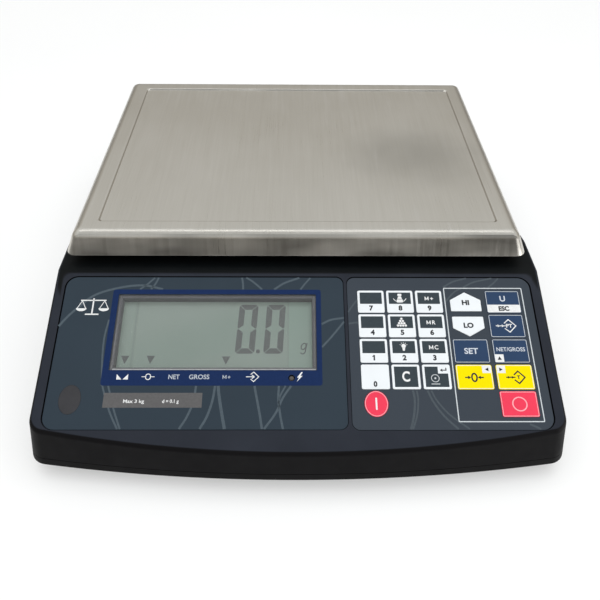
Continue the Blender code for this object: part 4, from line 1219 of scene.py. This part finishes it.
KEYS = {}
for digit, (col, row) in {"7": (0, 0), "8": (1, 0), "9": (2, 0), "4": (0, 1), "5": (1, 1), "6": (2, 1),
                          "1": (0, 2), "2": (1, 2), "3": (2, 2), "0": (0, 3)}.items():
    KEYS["key_" + digit] = (grid(col, row), M_KEY_WHITE, "key_white" if digit == "0" else "key_dark")
KEYS["key_clear"] = (grid(1, 3), M_KEY_WHITE, "key_dark")
KEYS["key_print"] = (grid(2, 3), M_KEY_WHITE, "key_dark")
KEYS["key_unit_esc"] = (wide(1, 0), M_KEY_NAVY, "key_navy")
KEYS["key_preset_tare"] = (wide(1, 1), M_KEY_NAVY, "key_navy")
KEYS["key_set"] = (wide(0, 2), M_KEY_NAVY, "key_navy")
KEYS["key_net_gross"] = (wide(1, 2), M_KEY_NAVY, "key_navy")
KEYS["key_zero"] = (wide(0, 3), M_KEY_YELLOW, "key_yellow")
KEYS["key_tare"] = (wide(1, 3), M_KEY_YELLOW, "key_yellow")
KEYS["key_off"] = (wide(1, 4), M_KEY_RED, "key_red")

holes = bmesh.new()
GROW, GAP = 0.12, 0.24        # caps fill their openings but for a hair line
outlines = {}
for name, (box, colour, slot_name) in KEYS.items():
    outlines[name] = (key_rect(*box, grow=GROW), colour, slot_name)
    add_prism(holes, key_rect(*box, grow=GAP), -4.0, 2.0, con)
outlines["key_hi"] = (key_house(*HI_BOX, True, GROW), M_KEY_WHITE, "key_white")
add_prism(holes, key_house(*HI_BOX, True, GAP, 0.6), -4.0, 2.0, con)
outlines["key_lo"] = (key_house(*LO_BOX, False, GROW), M_KEY_WHITE, "key_white")
add_prism(holes, key_house(*LO_BOX, False, GAP, 0.6), -4.0, 2.0, con)
outlines["key_on"] = (ellipse(*KEY_ON_AT, KEY_ON_SIZE[0] + 2 * GROW, KEY_ON_SIZE[1] + 2 * GROW, 56), M_KEY_RED, "key_red")
add_prism(holes, ellipse(*KEY_ON_AT, KEY_ON_SIZE[0] + 2 * GAP, KEY_ON_SIZE[1] + 2 * GAP, 56), -4.0, 2.0, con)
cut(pad, make("key_holes", holes))
piece(pad, "base", ("keypad_label",), 34.0)
for name, (pts, colour, slot_name) in outlines.items():
    ob = cap(name + "_cap", pts, -1.0, KEY_TOP, con, colour, 0.22, 3)
    piece(ob, name, (name,))

art = Print("keypad_film_print", LABEL_TOP)
for pts, wd in ((((30.9, 30.6), (37.0, 22.0), (45.8, 15.2)), 1.0), (((30.9, 38.6), (34.0, 38.0), (36.9, 37.6)), 1.2),
                (((92.6, 23.2), (98.6, 16.6), (104.2, 13.2)), 1.0),
                (((92.0, 12.9), (99.0, 8.8), (107.6, 6.3)), 1.1), (((105.0, 12.9), (112.0, 9.2), (124.0, 6.3)), 1.1),
                (((121.0, 12.9), (125.0, 9.6), (128.2, 6.3)), 1.0),
                (((67.2, 82.0), (67.8, 88.0), (66.6, 97.0), (64.2, 105.3)), 1.3),
                (((69.4, 82.0), (69.8, 88.0), (68.4, 97.0), (65.4, 105.3)), 1.0),
                (((75.8, 82.0), (78.6, 89.0), (84.0, 97.5), (91.5, 105.3)), 1.2),
                (((78.0, 82.0), (81.0, 88.6), (87.6, 97.0), (98.0, 105.3)), 1.0),
                (((133.0, 102.4), (136.0, 103.8), (139.0, 105.3)), 1.2)):
    art.line(smooth_path(pts, 8), wd, M_INK_CURVE_KEYS)
art.line(round_rect(92.3, 141.8, 13.6, 100.9, 0.5, 3), 0.62, M_INK_GROUP, 2, True)
art.done("base", "label")


# ---------------------------------------------------------------- print on the keys
def enter_arrow(p, u, v, s, mat, level):
    p.line([(u + 1.7 * s, v - 1.2 * s), (u + 1.7 * s, v + 0.3 * s), (u - 0.9 * s, v + 0.3 * s)], 0.62, mat, level)
    p.poly([(u - 1.9 * s, v + 0.3 * s), (u - 0.5 * s, v - 0.8 * s), (u - 0.5 * s, v + 1.4 * s)], mat, level)


G, D, WH = M_INK_GRAPHITE, M_INK_DARK, M_INK_WHITE
for digit in "123456789":
    box = KEYS["key_" + digit][0]
    u, v = box[0], box[1]
    p = Print("key_%s_print" % digit, KEY_TOP)
    p.poly(rect(u + 1.25, u + 15.15, v + 1.25, v + 9.3), G, 0)
    p.text(digit, u + 8.2, v + 12.2, 3.1, D, 0.22, 0, 1)
    if digit == "1":
        p.line([(u + 7.15, v + 11.55), (u + 8.2, v + 10.85)], 0.55, D, 1.3)
    cu, cv = u + 8.2, v + 5.4
    if digit == "9":
        letter_m(p, cu - 1.25, cv, 2.5, 2.6, 0.55, WH, 1)
        p.text("+", cu + 1.85, cv + 0.1, 2.7, WH, 0.08, 0, 1)
    if digit == "6":
        letter_m(p, cu - 1.55, cv, 2.6, 2.6, 0.55, WH, 1)
        p.text("R", cu + 1.65, cv, 2.6, WH, 0.08, 0, 1, width=2.1)
    if digit == "3":
        letter_m(p, cu - 1.55, cv, 2.6, 2.6, 0.55, WH, 1)
        p.text("C", cu + 1.65, cv, 2.6, WH, 0.08, 0, 1, width=2.3)
    if digit == "8":      # unit weight: a weight over an arc
        p.poly(round_rect(cu - 1.3, cu + 1.3, cv - 3.3, cv - 1.7, 0.5, 4), WH, 1)
        p.poly([(cu - 0.9, cv - 1.5), (cu + 0.9, cv - 1.5), (cu + 1.5, cv + 0.4), (cu - 1.5, cv + 0.4)], WH, 1)
        p.poly(round_rect(cu - 1.9, cu + 1.9, cv + 0.7, cv + 2.9, 0.4, 4), WH, 1)
        p.line([(cu + 4.4 * math.cos(a), cv - 1.6 + 4.2 * math.sin(a)) for a in
                [math.radians(24 + 42 * k / 6) for k in range(7)]], 0.45, WH, 1)
        p.line([(cu + 4.4 * math.cos(a), cv - 1.6 + 4.2 * math.sin(a)) for a in
                [math.radians(114 + 42 * k / 6) for k in range(7)]], 0.45, WH, 1)
    if digit == "5":      # pieces: a heap of balls
        for r in range(4):
            for k in range(r + 1):
                p.disc(cu + (k - r / 2) * 1.62, cv - 2.5 + r * 1.55, 1.5, WH, 1, 18)
    if digit == "2":      # lamp
        p.disc(cu, cv - 0.9, 2.7, WH, 1)
        p.poly([(cu - 0.95, cv + 0.1), (cu + 0.95, cv + 0.1), (cu + 0.55, cv + 2.3), (cu - 0.55, cv + 2.3)], WH, 1)
        for a in (200, 235, 270, 305, 340):
            q = math.radians(a)
            p.line([(cu + 1.8 * math.cos(q), cv - 0.9 + 1.8 * math.sin(q)),
                    (cu + 2.5 * math.cos(q), cv - 0.9 + 2.5 * math.sin(q))], 0.3, WH, 1)
    p.done("key_" + digit, "key_dark")

u, v = KEYS["key_0"][0][:2]
p = Print("key_0_print", KEY_TOP)
p.text("0", u + 8.0, v + 12.2, 3.1, D, 0.22, 0, 0, width=2.2)
p.done("key_0", "key_white")

u, v = KEYS["key_clear"][0][:2]
p = Print("key_clear_print", KEY_TOP)
p.poly(rect(u + 1.25, u + 15.15, v + 1.2, v + 14.1), G, 0)
p.text("C", u + 8.2, v + 7.5, 6.0, WH, 0.24, 0, 1, width=4.6)
p.done("key_clear", "key_dark")

u, v = KEYS["key_print"][0][:2]
p = Print("key_print_print", KEY_TOP)
p.poly([(u + 1.25, v + 1.2), (u + 9.2, v + 1.2), (u + 9.2, v + 5.6), (u + 15.15, v + 5.6), (u + 15.15, v + 14.1),
        (u + 1.25, v + 14.1)], G, 0)
p.ring(u + 7.2, v + 8.6, 4.6, 0.42, M_INK_PALE, 1)
p.disc(u + 7.2, v + 8.6, 1.2, M_INK_PALE, 1)
p.line([(u + 4.6, v + 12.2), (u + 9.8, v + 12.2)], 0.5, M_INK_PALE, 1)
enter_arrow(p, u + 12.4, v + 3.2, 1.0, D, 1)
p.done("key_print", "key_dark")

for name, box, word in (("key_hi", HI_BOX, "HI"), ("key_lo", LO_BOX, "LO")):
    p = Print(name + "_print", KEY_TOP)
    cv = box[1] + (7.2 if word == "HI" else 5.9)
    p.text(word, box[0] + box[2] / 2, cv, 3.1, D, 0.22, 0, 0, width=4.6 if word == "HI" else 6.2)
    p.done(name, "key_white")


def pale_outline(p, box, mat=M_INK_PALE, width=0.35):
    u, v, w, h = box
    p.line(round_rect(u + 0.35, u + w - 0.35, v + 0.35, v + h - 0.35, 0.6, 4), width, mat, 0, True)


box = KEYS["key_unit_esc"][0]
u, v = box[:2]
p = Print("key_unit_esc_print", KEY_TOP)
pale_outline(p, box)
p.poly(rect(u + 0.4, u + 20.9, v + 9.7, v + 14.9), WH, 1)
p.text("U", u + 10.6, v + 5.4, 3.7, M_INK_SOFT_KEY, 0.12, 0, 1)
p.text("ESC", u + 10.6, v + 12.35, 2.9, D, 0.20, 0, 2, width=6.6)
p.done("key_unit_esc", "key_navy")


def tare_mark(p, cu, cv, k, mat, two=True, letter="T", heavy=1.0):
    """Arrows running into a lozenge."""
    p.line([(cu - 6.4 * k, cv), (cu - 0.2 * k, cv)], 0.5 * heavy, mat, 1)
    for a in ((-5.2, -2.6) if two else (-3.0,)):
        p.poly([(cu + a * k, cv - 0.95 * k), (cu + (a + 1.7) * k, cv), (cu + a * k, cv + 0.95 * k)], mat, 1)
    p.line([(cu - 1.0 * k, cv - 1.7 * k), (cu + 1.9 * k, cv - 4.3 * k), (cu + 6.1 * k, cv), (cu + 1.9 * k, cv + 4.3 * k),
            (cu - 1.0 * k, cv + 1.7 * k)], 0.6 * heavy, mat, 1)
    p.text(letter, cu + 1.9 * k, cv, 2.4 * k, mat, 0.08 + 0.1 * (heavy - 1.0), 0, 2)


box = KEYS["key_preset_tare"][0]
p = Print("key_preset_tare_print", KEY_TOP)
pale_outline(p, box)
tare_mark(p, box[0] + 10.2, box[1] + 7.6, 1.0, WH, True, "PT")
p.done("key_preset_tare", "key_navy")

box = KEYS["key_set"][0]
p = Print("key_set_print", KEY_TOP)
pale_outline(p, box)
p.text("SET", box[0] + 10.6, box[1] + 7.7, 3.6, M_INK_SOFT_KEY, 0.12, 0, 1, width=8.4)
p.done("key_set", "key_navy")

box = KEYS["key_net_gross"][0]
u, v = box[:2]
p = Print("key_net_gross_print", KEY_TOP)
pale_outline(p, box)
p.text("NET/GROSS", u + 10.7, v + 6.6, 2.5, M_INK_SOFT_KEY, 0.05, 0, 1, width=17.4)
p.poly(rect(u + 0.4, u + 5.7, v + 9.9, v + 14.9), WH, 1)
p.poly([(u + 3.1, v + 11.2), (u + 4.4, v + 13.5), (u + 1.8, v + 13.5)], D, 2)
p.done("key_net_gross", "key_navy")

box = KEYS["key_zero"][0]
u, v = box[:2]
p = Print("key_zero_print", KEY_TOP)
pale_outline(p, box, M_INK_WHITE)
cu, cv = u + 10.4, v + 8.0
p.ring(cu, cv, 3.0, 0.95, D, 1, 32, 4.9)
for s in (-1, 1):
    p.line([(cu + s * 5.6, cv), (cu + s * 2.7, cv)], 0.75, D, 1)
    p.poly([(cu + s * 2.0, cv), (cu + s * 3.8, cv - 1.15), (cu + s * 3.8, cv + 1.15)], D, 1)
p.poly(rect(u + 15.6, u + 20.9, v + 0.4, v + 5.2), WH, 1)
p.poly([(u + 17.2, v + 2.9), (u + 19.4, v + 1.7), (u + 19.4, v + 4.1)], D, 2)
p.done("key_zero", "key_yellow")

box = KEYS["key_tare"][0]
u, v = box[:2]
p = Print("key_tare_print", KEY_TOP)
pale_outline(p, box, M_INK_WHITE)
tare_mark(p, u + 11.0, v + 7.9, 0.90, D, True, "T", 1.35)
p.poly(rect(u + 0.4, u + 5.4, v + 0.4, v + 5.2), WH, 1)
p.poly([(u + 3.9, v + 2.9), (u + 1.8, v + 1.7), (u + 1.8, v + 4.1)], D, 2)
p.done("key_tare", "key_yellow")

box = KEYS["key_off"][0]
u, v = box[:2]
p = Print("key_off_print", KEY_TOP)
p.line(round_rect(u + 0.35, u + 20.95, v + 0.35, v + 14.95, 0.6, 4), 0.4, M_INK_ROSE, 0, True)
p.ring(u + 10.8, v + 7.7, 8.2, 0.75, M_INK_ROSE, 1, 44)
p.done("key_off", "key_red")

p = Print("key_on_print", KEY_TOP)
p.ring(*KEY_ON_AT, KEY_ON_SIZE[0] - 0.7, 0.4, M_INK_ROSE, 0, 56, KEY_ON_SIZE[1] - 0.7)
p.poly(round_rect(KEY_ON_AT[0] - 0.5, KEY_ON_AT[0] + 0.5, KEY_ON_AT[1] - 3.7, KEY_ON_AT[1] + 3.7, 0.4, 3), WH, 1)
p.done("key_on", "key_red")

# ---------------------------------------------------------------- pan support and cushions
z0, z1 = SUPPORT_Z
ax, ay = CUSHION_AT
hub = 34.0
spider = [(-hub, -hub + 8), (-ax - 7, -ay + 3), (-ax - 7, -ay - 7), (-ax + 6, -ay - 7), (-hub + 12, -hub),
          (hub - 12, -hub), (ax - 6, -ay - 7), (ax + 7, -ay - 7), (ax + 7, -ay + 3), (hub, -hub + 8),
          (hub, hub - 8), (ax + 7, ay - 3), (ax + 7, ay + 7), (ax - 6, ay + 7), (hub - 12, hub),
          (-hub + 12, hub), (-ax + 6, ay + 7), (-ax - 7, ay + 7), (-ax - 7, ay - 3), (-hub, hub - 8)]
radii = [8, 3, 5, 3, 8, 8, 3, 5, 3, 8, 8, 3, 5, 3, 8, 8, 3, 5, 3, 8]
outline = fillet([(x, PLATTER_CY + y) for x, y in spider], radii, 6)
cast = cap("pan_casting", outline, z0, z1, world, M_CAST, 1.0, 4, 0.8)
fuse(cast, prism("hub_plate", round_rect(-hub + 4, POST_X + 15.0, PLATTER_CY - 15.0, PLATTER_CY + 15.0, 3.0, 5),
                 z0 - 4.0, z1 - 2.0))
fuse(cast, prism("post", round_rect(POST_X - 15.0, POST_X + 15.0, PLATTER_CY - 13.5, PLATTER_CY + 13.5, 2.0, 5),
                 CELL_Z[1] + 0.95, z0 - 1.0))
# shallow pockets between the ribs of each arm and of the hub
bm = bmesh.new()
for sx in (-1, 1):
    for sy in (-1, 1):
        a = [(40, 22), (ax - 16, ay - 8), (ax - 20, ay - 2), (28, 30)]
        pts = [(sx * x, PLATTER_CY + sy * y) for x, y in a]
        if sx * sy < 0:
            pts = pts[::-1]
        add_prism(bm, fillet(pts, 2.0, 4), z1 - 2.2, z1 + 4.0, world)
add_prism(bm, fillet([(-26, PLATTER_CY - 26), (26, PLATTER_CY - 26), (26, PLATTER_CY + 26), (-26, PLATTER_CY + 26)], 5.0, 5),
          z1 - 2.2, z1 + 4.0, world)
cut(cast, make("pockets", bm))
bm = bmesh.new()
for sy in (-1, 1):
    add_prism(bm, circle(POST_X, PLATTER_CY + sy * 7.0, 8.5, 28), z1 - 3.0, z1 + 3.0, world)
cut(cast, make("bolt_sinks", bm))
piece(cast, "pan", ("pan_support",), 40.0)

bm = bmesh.new()
for sy in (-1, 1):
    cx, cy = POST_X, PLATTER_CY + sy * 7.0
    top = z1 - 0.4
    add_loft(bm, turn_rings([(3.9, z1 - 2.9), (3.9, top - 0.4), (3.75, top - 0.12), (3.5, top), (2.1, top)], cx, cy, 30)
             + [[(cx + 1.7 * math.cos(2 * math.pi * k / 30) * (1.0 + 0.0 * k), cy + 1.7 * math.sin(2 * math.pi * k / 30), top - 1.5)
                 for k in range(30)]])
bolts = make("pan_bolts", bm, M_ZINC)
piece(bolts, "pan", (), 40.0)

for k, (sx, sy) in enumerate(((-1, -1), (1, -1), (-1, 1), (1, 1))):
    cx, cy = sx * ax, PLATTER_CY + sy * ay
    lo, top = z1 + 0.3, PLATTER_TOP_Z - 1.0 - SHEET_T - 0.3
    prof = [(7.0, lo), (7.0, lo + 0.7), (6.55, lo + 0.95), (6.55, lo + 1.25), (7.0, lo + 1.5), (7.0, top - 0.9),
            (6.8, top - 0.4), (6.3, top - 0.08), (5.4, top), (3.2, top), (2.9, top - 0.25), (2.6, top - 0.5), (0.6, top - 0.55)]
    ob = loft("cushion_pad_%d" % (k + 1), turn_rings(prof, cx, cy, 44), M_RUBBER_GREY)
    piece(ob, "pan", ("cushion_%d" % (k + 1),), 40.0)

# ---------------------------------------------------------------- feet
for k, (x, y) in enumerate(FOOT_AT):
    # moulded pad with grip rings on the sole
    prof = [(0.5, 0.55), (2.2, 0.55), (2.5, 0.0), (4.1, 0.0), (4.4, 0.5), (5.5, 0.5), (5.8, 0.0), (7.4, 0.0), (7.7, 0.5),
            (8.8, 0.5), (9.1, 0.0), (10.9, 0.0), (11.6, 0.35), (12.0, 1.1), (12.0, 1.9), (11.6, 2.15), (11.6, 2.55), (12.0, 2.8),
            (12.0, 4.0), (11.8, 4.55), (11.3, 4.9), (10.6, 5.0)]
    ob = loft("foot_pad_rubber_%d" % (k + 1), turn_rings(prof, x, y, 56), M_RUBBER)
    piece(ob, "foot_pad_%d" % (k + 1), ("foot_pad_%d" % (k + 1),), 40.0)
    # fluted thumb wheel under a threaded stud
    n = 96
    rings = []
    for r, z, flute in ((10.2, 5.3, 0.0), (10.7, 5.45, 0.35), (11.0, 5.9, 0.9), (11.0, 8.7, 0.9), (10.7, 9.15, 0.35), (10.2, 9.3, 0.0)):
        rings.append([(x + (r - flute * (0.5 + 0.5 * math.cos(24 * 2 * math.pi * i / n)) * 0.75) * math.cos(2 * math.pi * i / n),
                       y + (r - flute * (0.5 + 0.5 * math.cos(24 * 2 * math.pi * i / n)) * 0.75) * math.sin(2 * math.pi * i / n), z)
                      for i in range(n)])
    rings.append([(x + 3.4 * math.cos(2 * math.pi * i / n), y + 3.4 * math.sin(2 * math.pi * i / n), 9.32) for i in range(n)])
    zz = 9.5
    while zz < 28.3:
        ring = []
        for i in range(n):
            a = 2 * math.pi * i / n
            phase = (zz - i / n) % 1.0
            r = 2.55 + 0.45 * (1 - abs(2 * phase - 1))
            ring.append((x + r * math.cos(a), y + r * math.sin(a), zz))
        rings.append(ring)
        zz += 0.25
    rings.append([(x + 2.2 * math.cos(2 * math.pi * i / n), y + 2.2 * math.sin(2 * math.pi * i / n), 28.98) for i in range(n)])
    ob = loft("foot_stud_turned_%d" % (k + 1), rings, M_ZINC)
    piece(ob, "foot_stud_%d" % (k + 1), ("foot_stud_%d" % (k + 1),), 30.0)

# ---------------------------------------------------------------- case screws, seen from below
for k, (x, y) in enumerate(SCREW_AT):
    head = [(1.2, 11.55), (2.6, 11.5), (3.1, 11.62), (3.45, 11.95), (3.6, 12.5), (3.6, 13.8), (1.95, 13.81), (1.95, 34.0), (0.6, 36.0)]
    ob = loft("case_screw_turned_%d" % (k + 1), turn_rings(head, x, y, 36), M_ZINC)
    cut(ob, prism("slot_x", rect(x - 1.9, x + 1.9, y - 0.42, y + 0.42), 11.0, 12.9))
    cut(ob, prism("slot_y", rect(x - 0.42, x + 0.42, y - 1.9, y + 1.9), 11.0, 12.91))
    piece(ob, "base", ("case_screw_%d" % (k + 1),), 40.0)

# ---------------------------------------------------------------- battery and its door
bx0, bx1, by0, by1, bz0, bz1 = BATTERY
cell = cap("battery_block", round_rect(bx0, bx1, by0, by1, 2.4, 6), bz0, bz1, world, [M_BATTERY, M_TERMINAL], 0.9, 4, 0.9)
bm = bmesh.new()
add_loft(bm, [[(x, y, z) for x, y in round_rect(bx0 - g, bx1 + g, by0 - g, by1 + g, 2.4, 6)] for g, z in
              ((1.0, 49.6), (1.0, 50.4), (-0.5, 50.4), (-0.5, 49.6))], world, True)
cut(cell, make("lid_line", bm))
bm = bmesh.new()
for x0, x1 in ((-46.0, -34.0), (34.0, 46.0)):
    add_prism(bm, round_rect(x0, x1, 100.0, 108.0, 1.0, 4), bz1 - 1.0, bz1 + 1.6, world)
    add_prism(bm, rect(x0 + 3.6, x1 - 3.6, 102.0, 106.0), bz1 + 1.0, bz1 + 4.0, world)
fuse(cell, make("terminals", bm))
piece(cell, "base", ("battery",), 40.0)

lid = cap("battery_door_panel", round_rect(DOOR[0], DOOR[1], DOOR[2], DOOR[3], 1.6, 5), *DOOR_Z, world, M_BASE, 0.3, 3, 0.4)
bm = bmesh.new()
add_prism(bm, fillet([(-9.0, DOOR[2] + 3.0), (9.0, DOOR[2] + 3.0), (9.0, DOOR[2] + 13.0), (-9.0, DOOR[2] + 13.0)], 4.0, 6),
          5.0, DOOR_Z[0] + 0.9, world)
for row in range(6):
    y = DOOR[2] + 18.0 + row * 3.2
    add_prism(bm, round_rect(-16.0, 16.0, y, y + 1.3, 0.6, 4), 5.0, DOOR_Z[0] + 0.5, world)
# opening arrow
add_prism(bm, [(0.0, DOOR[2] + 41.0), (5.0, DOOR[2] + 47.0), (-5.0, DOOR[2] + 47.0)], 5.0, DOOR_Z[0] + 0.4, world)
cut(lid, make("door_relief", bm))


def door_edge(e):
    if e.calc_face_angle(0.0) < math.radians(70):
        return False
    a, b = e.verts[0].co, e.verts[1].co
    return abs(a.z - DOOR_Z[0] * MM) < 1e-5 and abs(b.z - DOOR_Z[0] * MM) < 1e-5


round_edges(lid, door_edge, 0.15, 2)
piece(lid, "battery_door", ("battery_door",), 40.0)

# ---------------------------------------------------------------- rear connectors
body = prism("dc_socket", round_rect(INLET_X - 7.0, INLET_X + 7.0, INLET_Z - 6.0, INLET_Z + 6.0, 0.8, 4), 159.7, 174.9, along_y, M_SOCKET)
nose_rings = []
for d, yy in ((8.5, 174.0), (8.5, 177.0), (8.3, 177.4), (7.9, 177.6)):
    nose_rings.append([(x, z, yy) for x, z in circle(INLET_X, INLET_Z, d, 48)])
bm = bmesh.new()
add_loft(bm, nose_rings, along_y)
fuse(body, make("nose", bm))
cut(body, prism("barrel", circle(INLET_X, INLET_Z, 6.4, 48), 165.0, 182.0, along_y))
piece(body, "base", ("dc_inlet",), 40.0)
bm = bmesh.new()
add_loft(bm, [[(x, z, yy) for x, z in circle(INLET_X, INLET_Z, d, 24)] for d, yy in
              ((2.1, 165.2), (2.1, 175.3), (1.8, 175.8), (1.0, 176.0))], along_y)
pin = make("dc_socket_pin", bm, M_NICKEL)
piece(pin, "base", (), 50.0)

flange = cap("serial_flange", round_rect(SERIAL_X - 15.5, SERIAL_X + 15.5, SERIAL_Z - 6.2, SERIAL_Z + 6.2, 1.4, 5), 164.0, 174.9,
             along_y, M_NICKEL, 0.3, 3)


def d_shape(half_top, half_low, half_h, r=1.6):
    return fillet([(SERIAL_X - half_top, SERIAL_Z + half_h), (SERIAL_X - half_low, SERIAL_Z - half_h),
                   (SERIAL_X + half_low, SERIAL_Z - half_h), (SERIAL_X + half_top, SERIAL_Z + half_h)], r, 5)


bm = bmesh.new()
add_prism(bm, d_shape(8.4, 7.4, 4.1), 174.0, 177.6, along_y)
fuse(flange, make("d_shell", bm))
cut(flange, prism("d_mouth", d_shape(7.9, 6.9, 3.6, 1.3), 175.2, 182.0, along_y))
piece(flange, "base", ("serial_port",), 40.0)
insert = cap("serial_insert", d_shape(7.7, 6.7, 3.4, 1.2), 175.0, 176.9, along_y, M_SOCKET, 0.15, 2)
bm = bmesh.new()
for row, count in ((1, 5), (-1, 4)):
    for i in range(count):
        add_prism(bm, circle(SERIAL_X + (i - (count - 1) / 2) * 2.76, SERIAL_Z + row * 1.42, 1.15, 16), 176.0, 180.0, along_y)
cut(insert, make("pin_holes", bm))
piece(insert, "base", (), 40.0)
bm = bmesh.new()
for row, count in ((1, 5), (-1, 4)):
    for i in range(count):
        add_prism(bm, circle(SERIAL_X + (i - (count - 1) / 2) * 2.76, SERIAL_Z + row * 1.42, 0.7, 12), 175.6, 176.4, along_y)
pins = make("serial_contacts", bm, M_CONTACT)
piece(pins, "base", (), 40.0)

# ---------------------------------------------------------------- carried-over nodes
for node, mat in (("load_cell", M_BAR), ("display_board", M_BOARD), ("keypad_board", M_BOARD), ("main_board", M_BOARD),
                  ("level_vial", M_VIAL)):
    ob = frame["nodes"][node]
    ob.data.materials.clear()
    ob.data.materials.append(mat)

# ---------------------------------------------------------------- floor, light, camera
bm = bmesh.new()
bmesh.ops.create_grid(bm, x_segments=1, y_segments=1, size=6.0)
floor = make("studio_floor", bm)
floor.location.z = -0.0004
n = Nodes("m_studio_floor")
n.set("Base Color", n.blend(n.span(n.noise(3.0), 0.0, 1.0), (0.515, 0.52, 0.52), (0.530, 0.535, 0.535)))
n.set("Emission Color", (1.0, 1.0, 1.0))
n.set("Emission Strength", 0.42)
n.set("Roughness", 0.9)
n.set("Specular IOR Level", 0.0)
floor.data.materials.append(n.m)
floor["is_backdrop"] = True

scene = bpy.context.scene
scene.view_settings.view_transform = "Standard"
scene.view_settings.look = "None"
scene.view_settings.exposure = 0.0
scene.view_settings.gamma = 1.0

env = bpy.data.worlds.new("studio")
scene.world = env
env.use_nodes = True
nt = env.node_tree
background = nt.nodes["Background"]
coords = nt.nodes.new("ShaderNodeTexCoord")
split_dir = nt.nodes.new("ShaderNodeSeparateXYZ")
nt.links.new(coords.outputs["Generated"], split_dir.inputs[0])
ramp = nt.nodes.new("ShaderNodeValToRGB")
ramp.color_ramp.interpolation = "LINEAR"
stops = ((0.0, (0.30, 0.30, 0.30)), (0.5, (0.17, 0.165, 0.155)), (0.58, (0.24, 0.228, 0.205)), (0.70, (0.480, 0.440, 0.380)),
         (0.80, (0.850, 0.865, 0.865)), (0.88, (0.74, 0.76, 0.77)), (1.0, (0.62, 0.63, 0.63)))
elements = ramp.color_ramp.elements
while len(elements) < len(stops):
    elements.new(0.5)
for e, (pos, value) in zip(elements, stops):
    e.position = pos
    e.color = (*value, 1.0)
half = nt.nodes.new("ShaderNodeMath")
half.operation = "MULTIPLY_ADD"
half.inputs[1].default_value = 0.5
half.inputs[2].default_value = 0.5
nt.links.new(split_dir.outputs[2], half.inputs[0])
nt.links.new(half.outputs[0], ramp.inputs[0])
# the horizon on the operator's side is darker
low = nt.nodes.new("ShaderNodeMapRange")
low.interpolation_type = "SMOOTHSTEP"
for socket, value in zip(low.inputs[1:5], (0.04, 0.44, 1.0, 0.0)):
    socket.default_value = value
nt.links.new(split_dir.outputs[2], low.inputs[0])
near = nt.nodes.new("ShaderNodeMapRange")
near.interpolation_type = "SMOOTHSTEP"
for socket, value in zip(near.inputs[1:5], (0.0, -0.8, 0.0, 1.0)):
    socket.default_value = value
nt.links.new(split_dir.outputs[1], near.inputs[0])
shade = nt.nodes.new("ShaderNodeMath")
shade.operation = "MULTIPLY"
nt.links.new(low.outputs[0], shade.inputs[0])
nt.links.new(near.outputs[0], shade.inputs[1])
dim = nt.nodes.new("ShaderNodeMix")
dim.data_type = "RGBA"
dim.inputs[7].default_value = (0.024, 0.0225, 0.023, 1.0)
nt.links.new(shade.outputs[0], dim.inputs[0])
nt.links.new(ramp.outputs[0], dim.inputs[6])
nt.links.new(dim.outputs[2], background.inputs["Color"])
background.inputs["Strength"].default_value = 1.0


def area_light(name, at, target, size, power, colour=(1.0, 1.0, 1.0)):
    data = bpy.data.lights.new(name, "AREA")
    data.shape = "RECTANGLE"
    data.size, data.size_y = size
    data.energy = power
    data.color = colour
    ob = bpy.data.objects.new(name, data)
    scene.collection.objects.link(ob)
    ob.location = at
    ob.rotation_euler = (Vector(target) - Vector(at)).to_track_quat("-Z", "Y").to_euler()
    return ob


fill = area_light("overhead", (0.0, -0.30, 1.75), (0.0, -0.30, 0.0), (2.6, 2.2), 21.0)
fill.visible_glossy = False
area_light("strip", (0.0, 0.44, 1.75), (0.0, 0.0, 0.09), (2.4, 0.40), 4.2)
area_light("right_low", (0.95, -0.46, 0.20), (0.12, -0.06, 0.08), (0.60, 0.34), 2.6)

cam_data = bpy.data.cameras.new("camera")
cam = bpy.data.objects.new("camera", cam_data)
scene.collection.objects.link(cam)
scene.camera = cam
cam_data.sensor_width = 36.0
cam_data.lens = 39.04
cam_data.clip_start, cam_data.clip_end = 0.01, 50.0
pitch, yaw, roll = math.radians(42.654), math.radians(0.783), math.radians(0.612)
f = Vector((math.sin(yaw) * math.cos(pitch), math.cos(yaw) * math.cos(pitch), -math.sin(pitch)))
r = Vector((math.cos(yaw), -math.sin(yaw), 0.0))
up = r.cross(f)
r2 = math.cos(roll) * r + math.sin(roll) * up
u2 = -math.sin(roll) * r + math.cos(roll) * up
basis = Matrix((r2, u2, -f)).transposed()
cam.matrix_world = Matrix.Translation((-0.003266, -0.38556, 0.3420)) @ basis.to_4x4()

lo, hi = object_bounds()
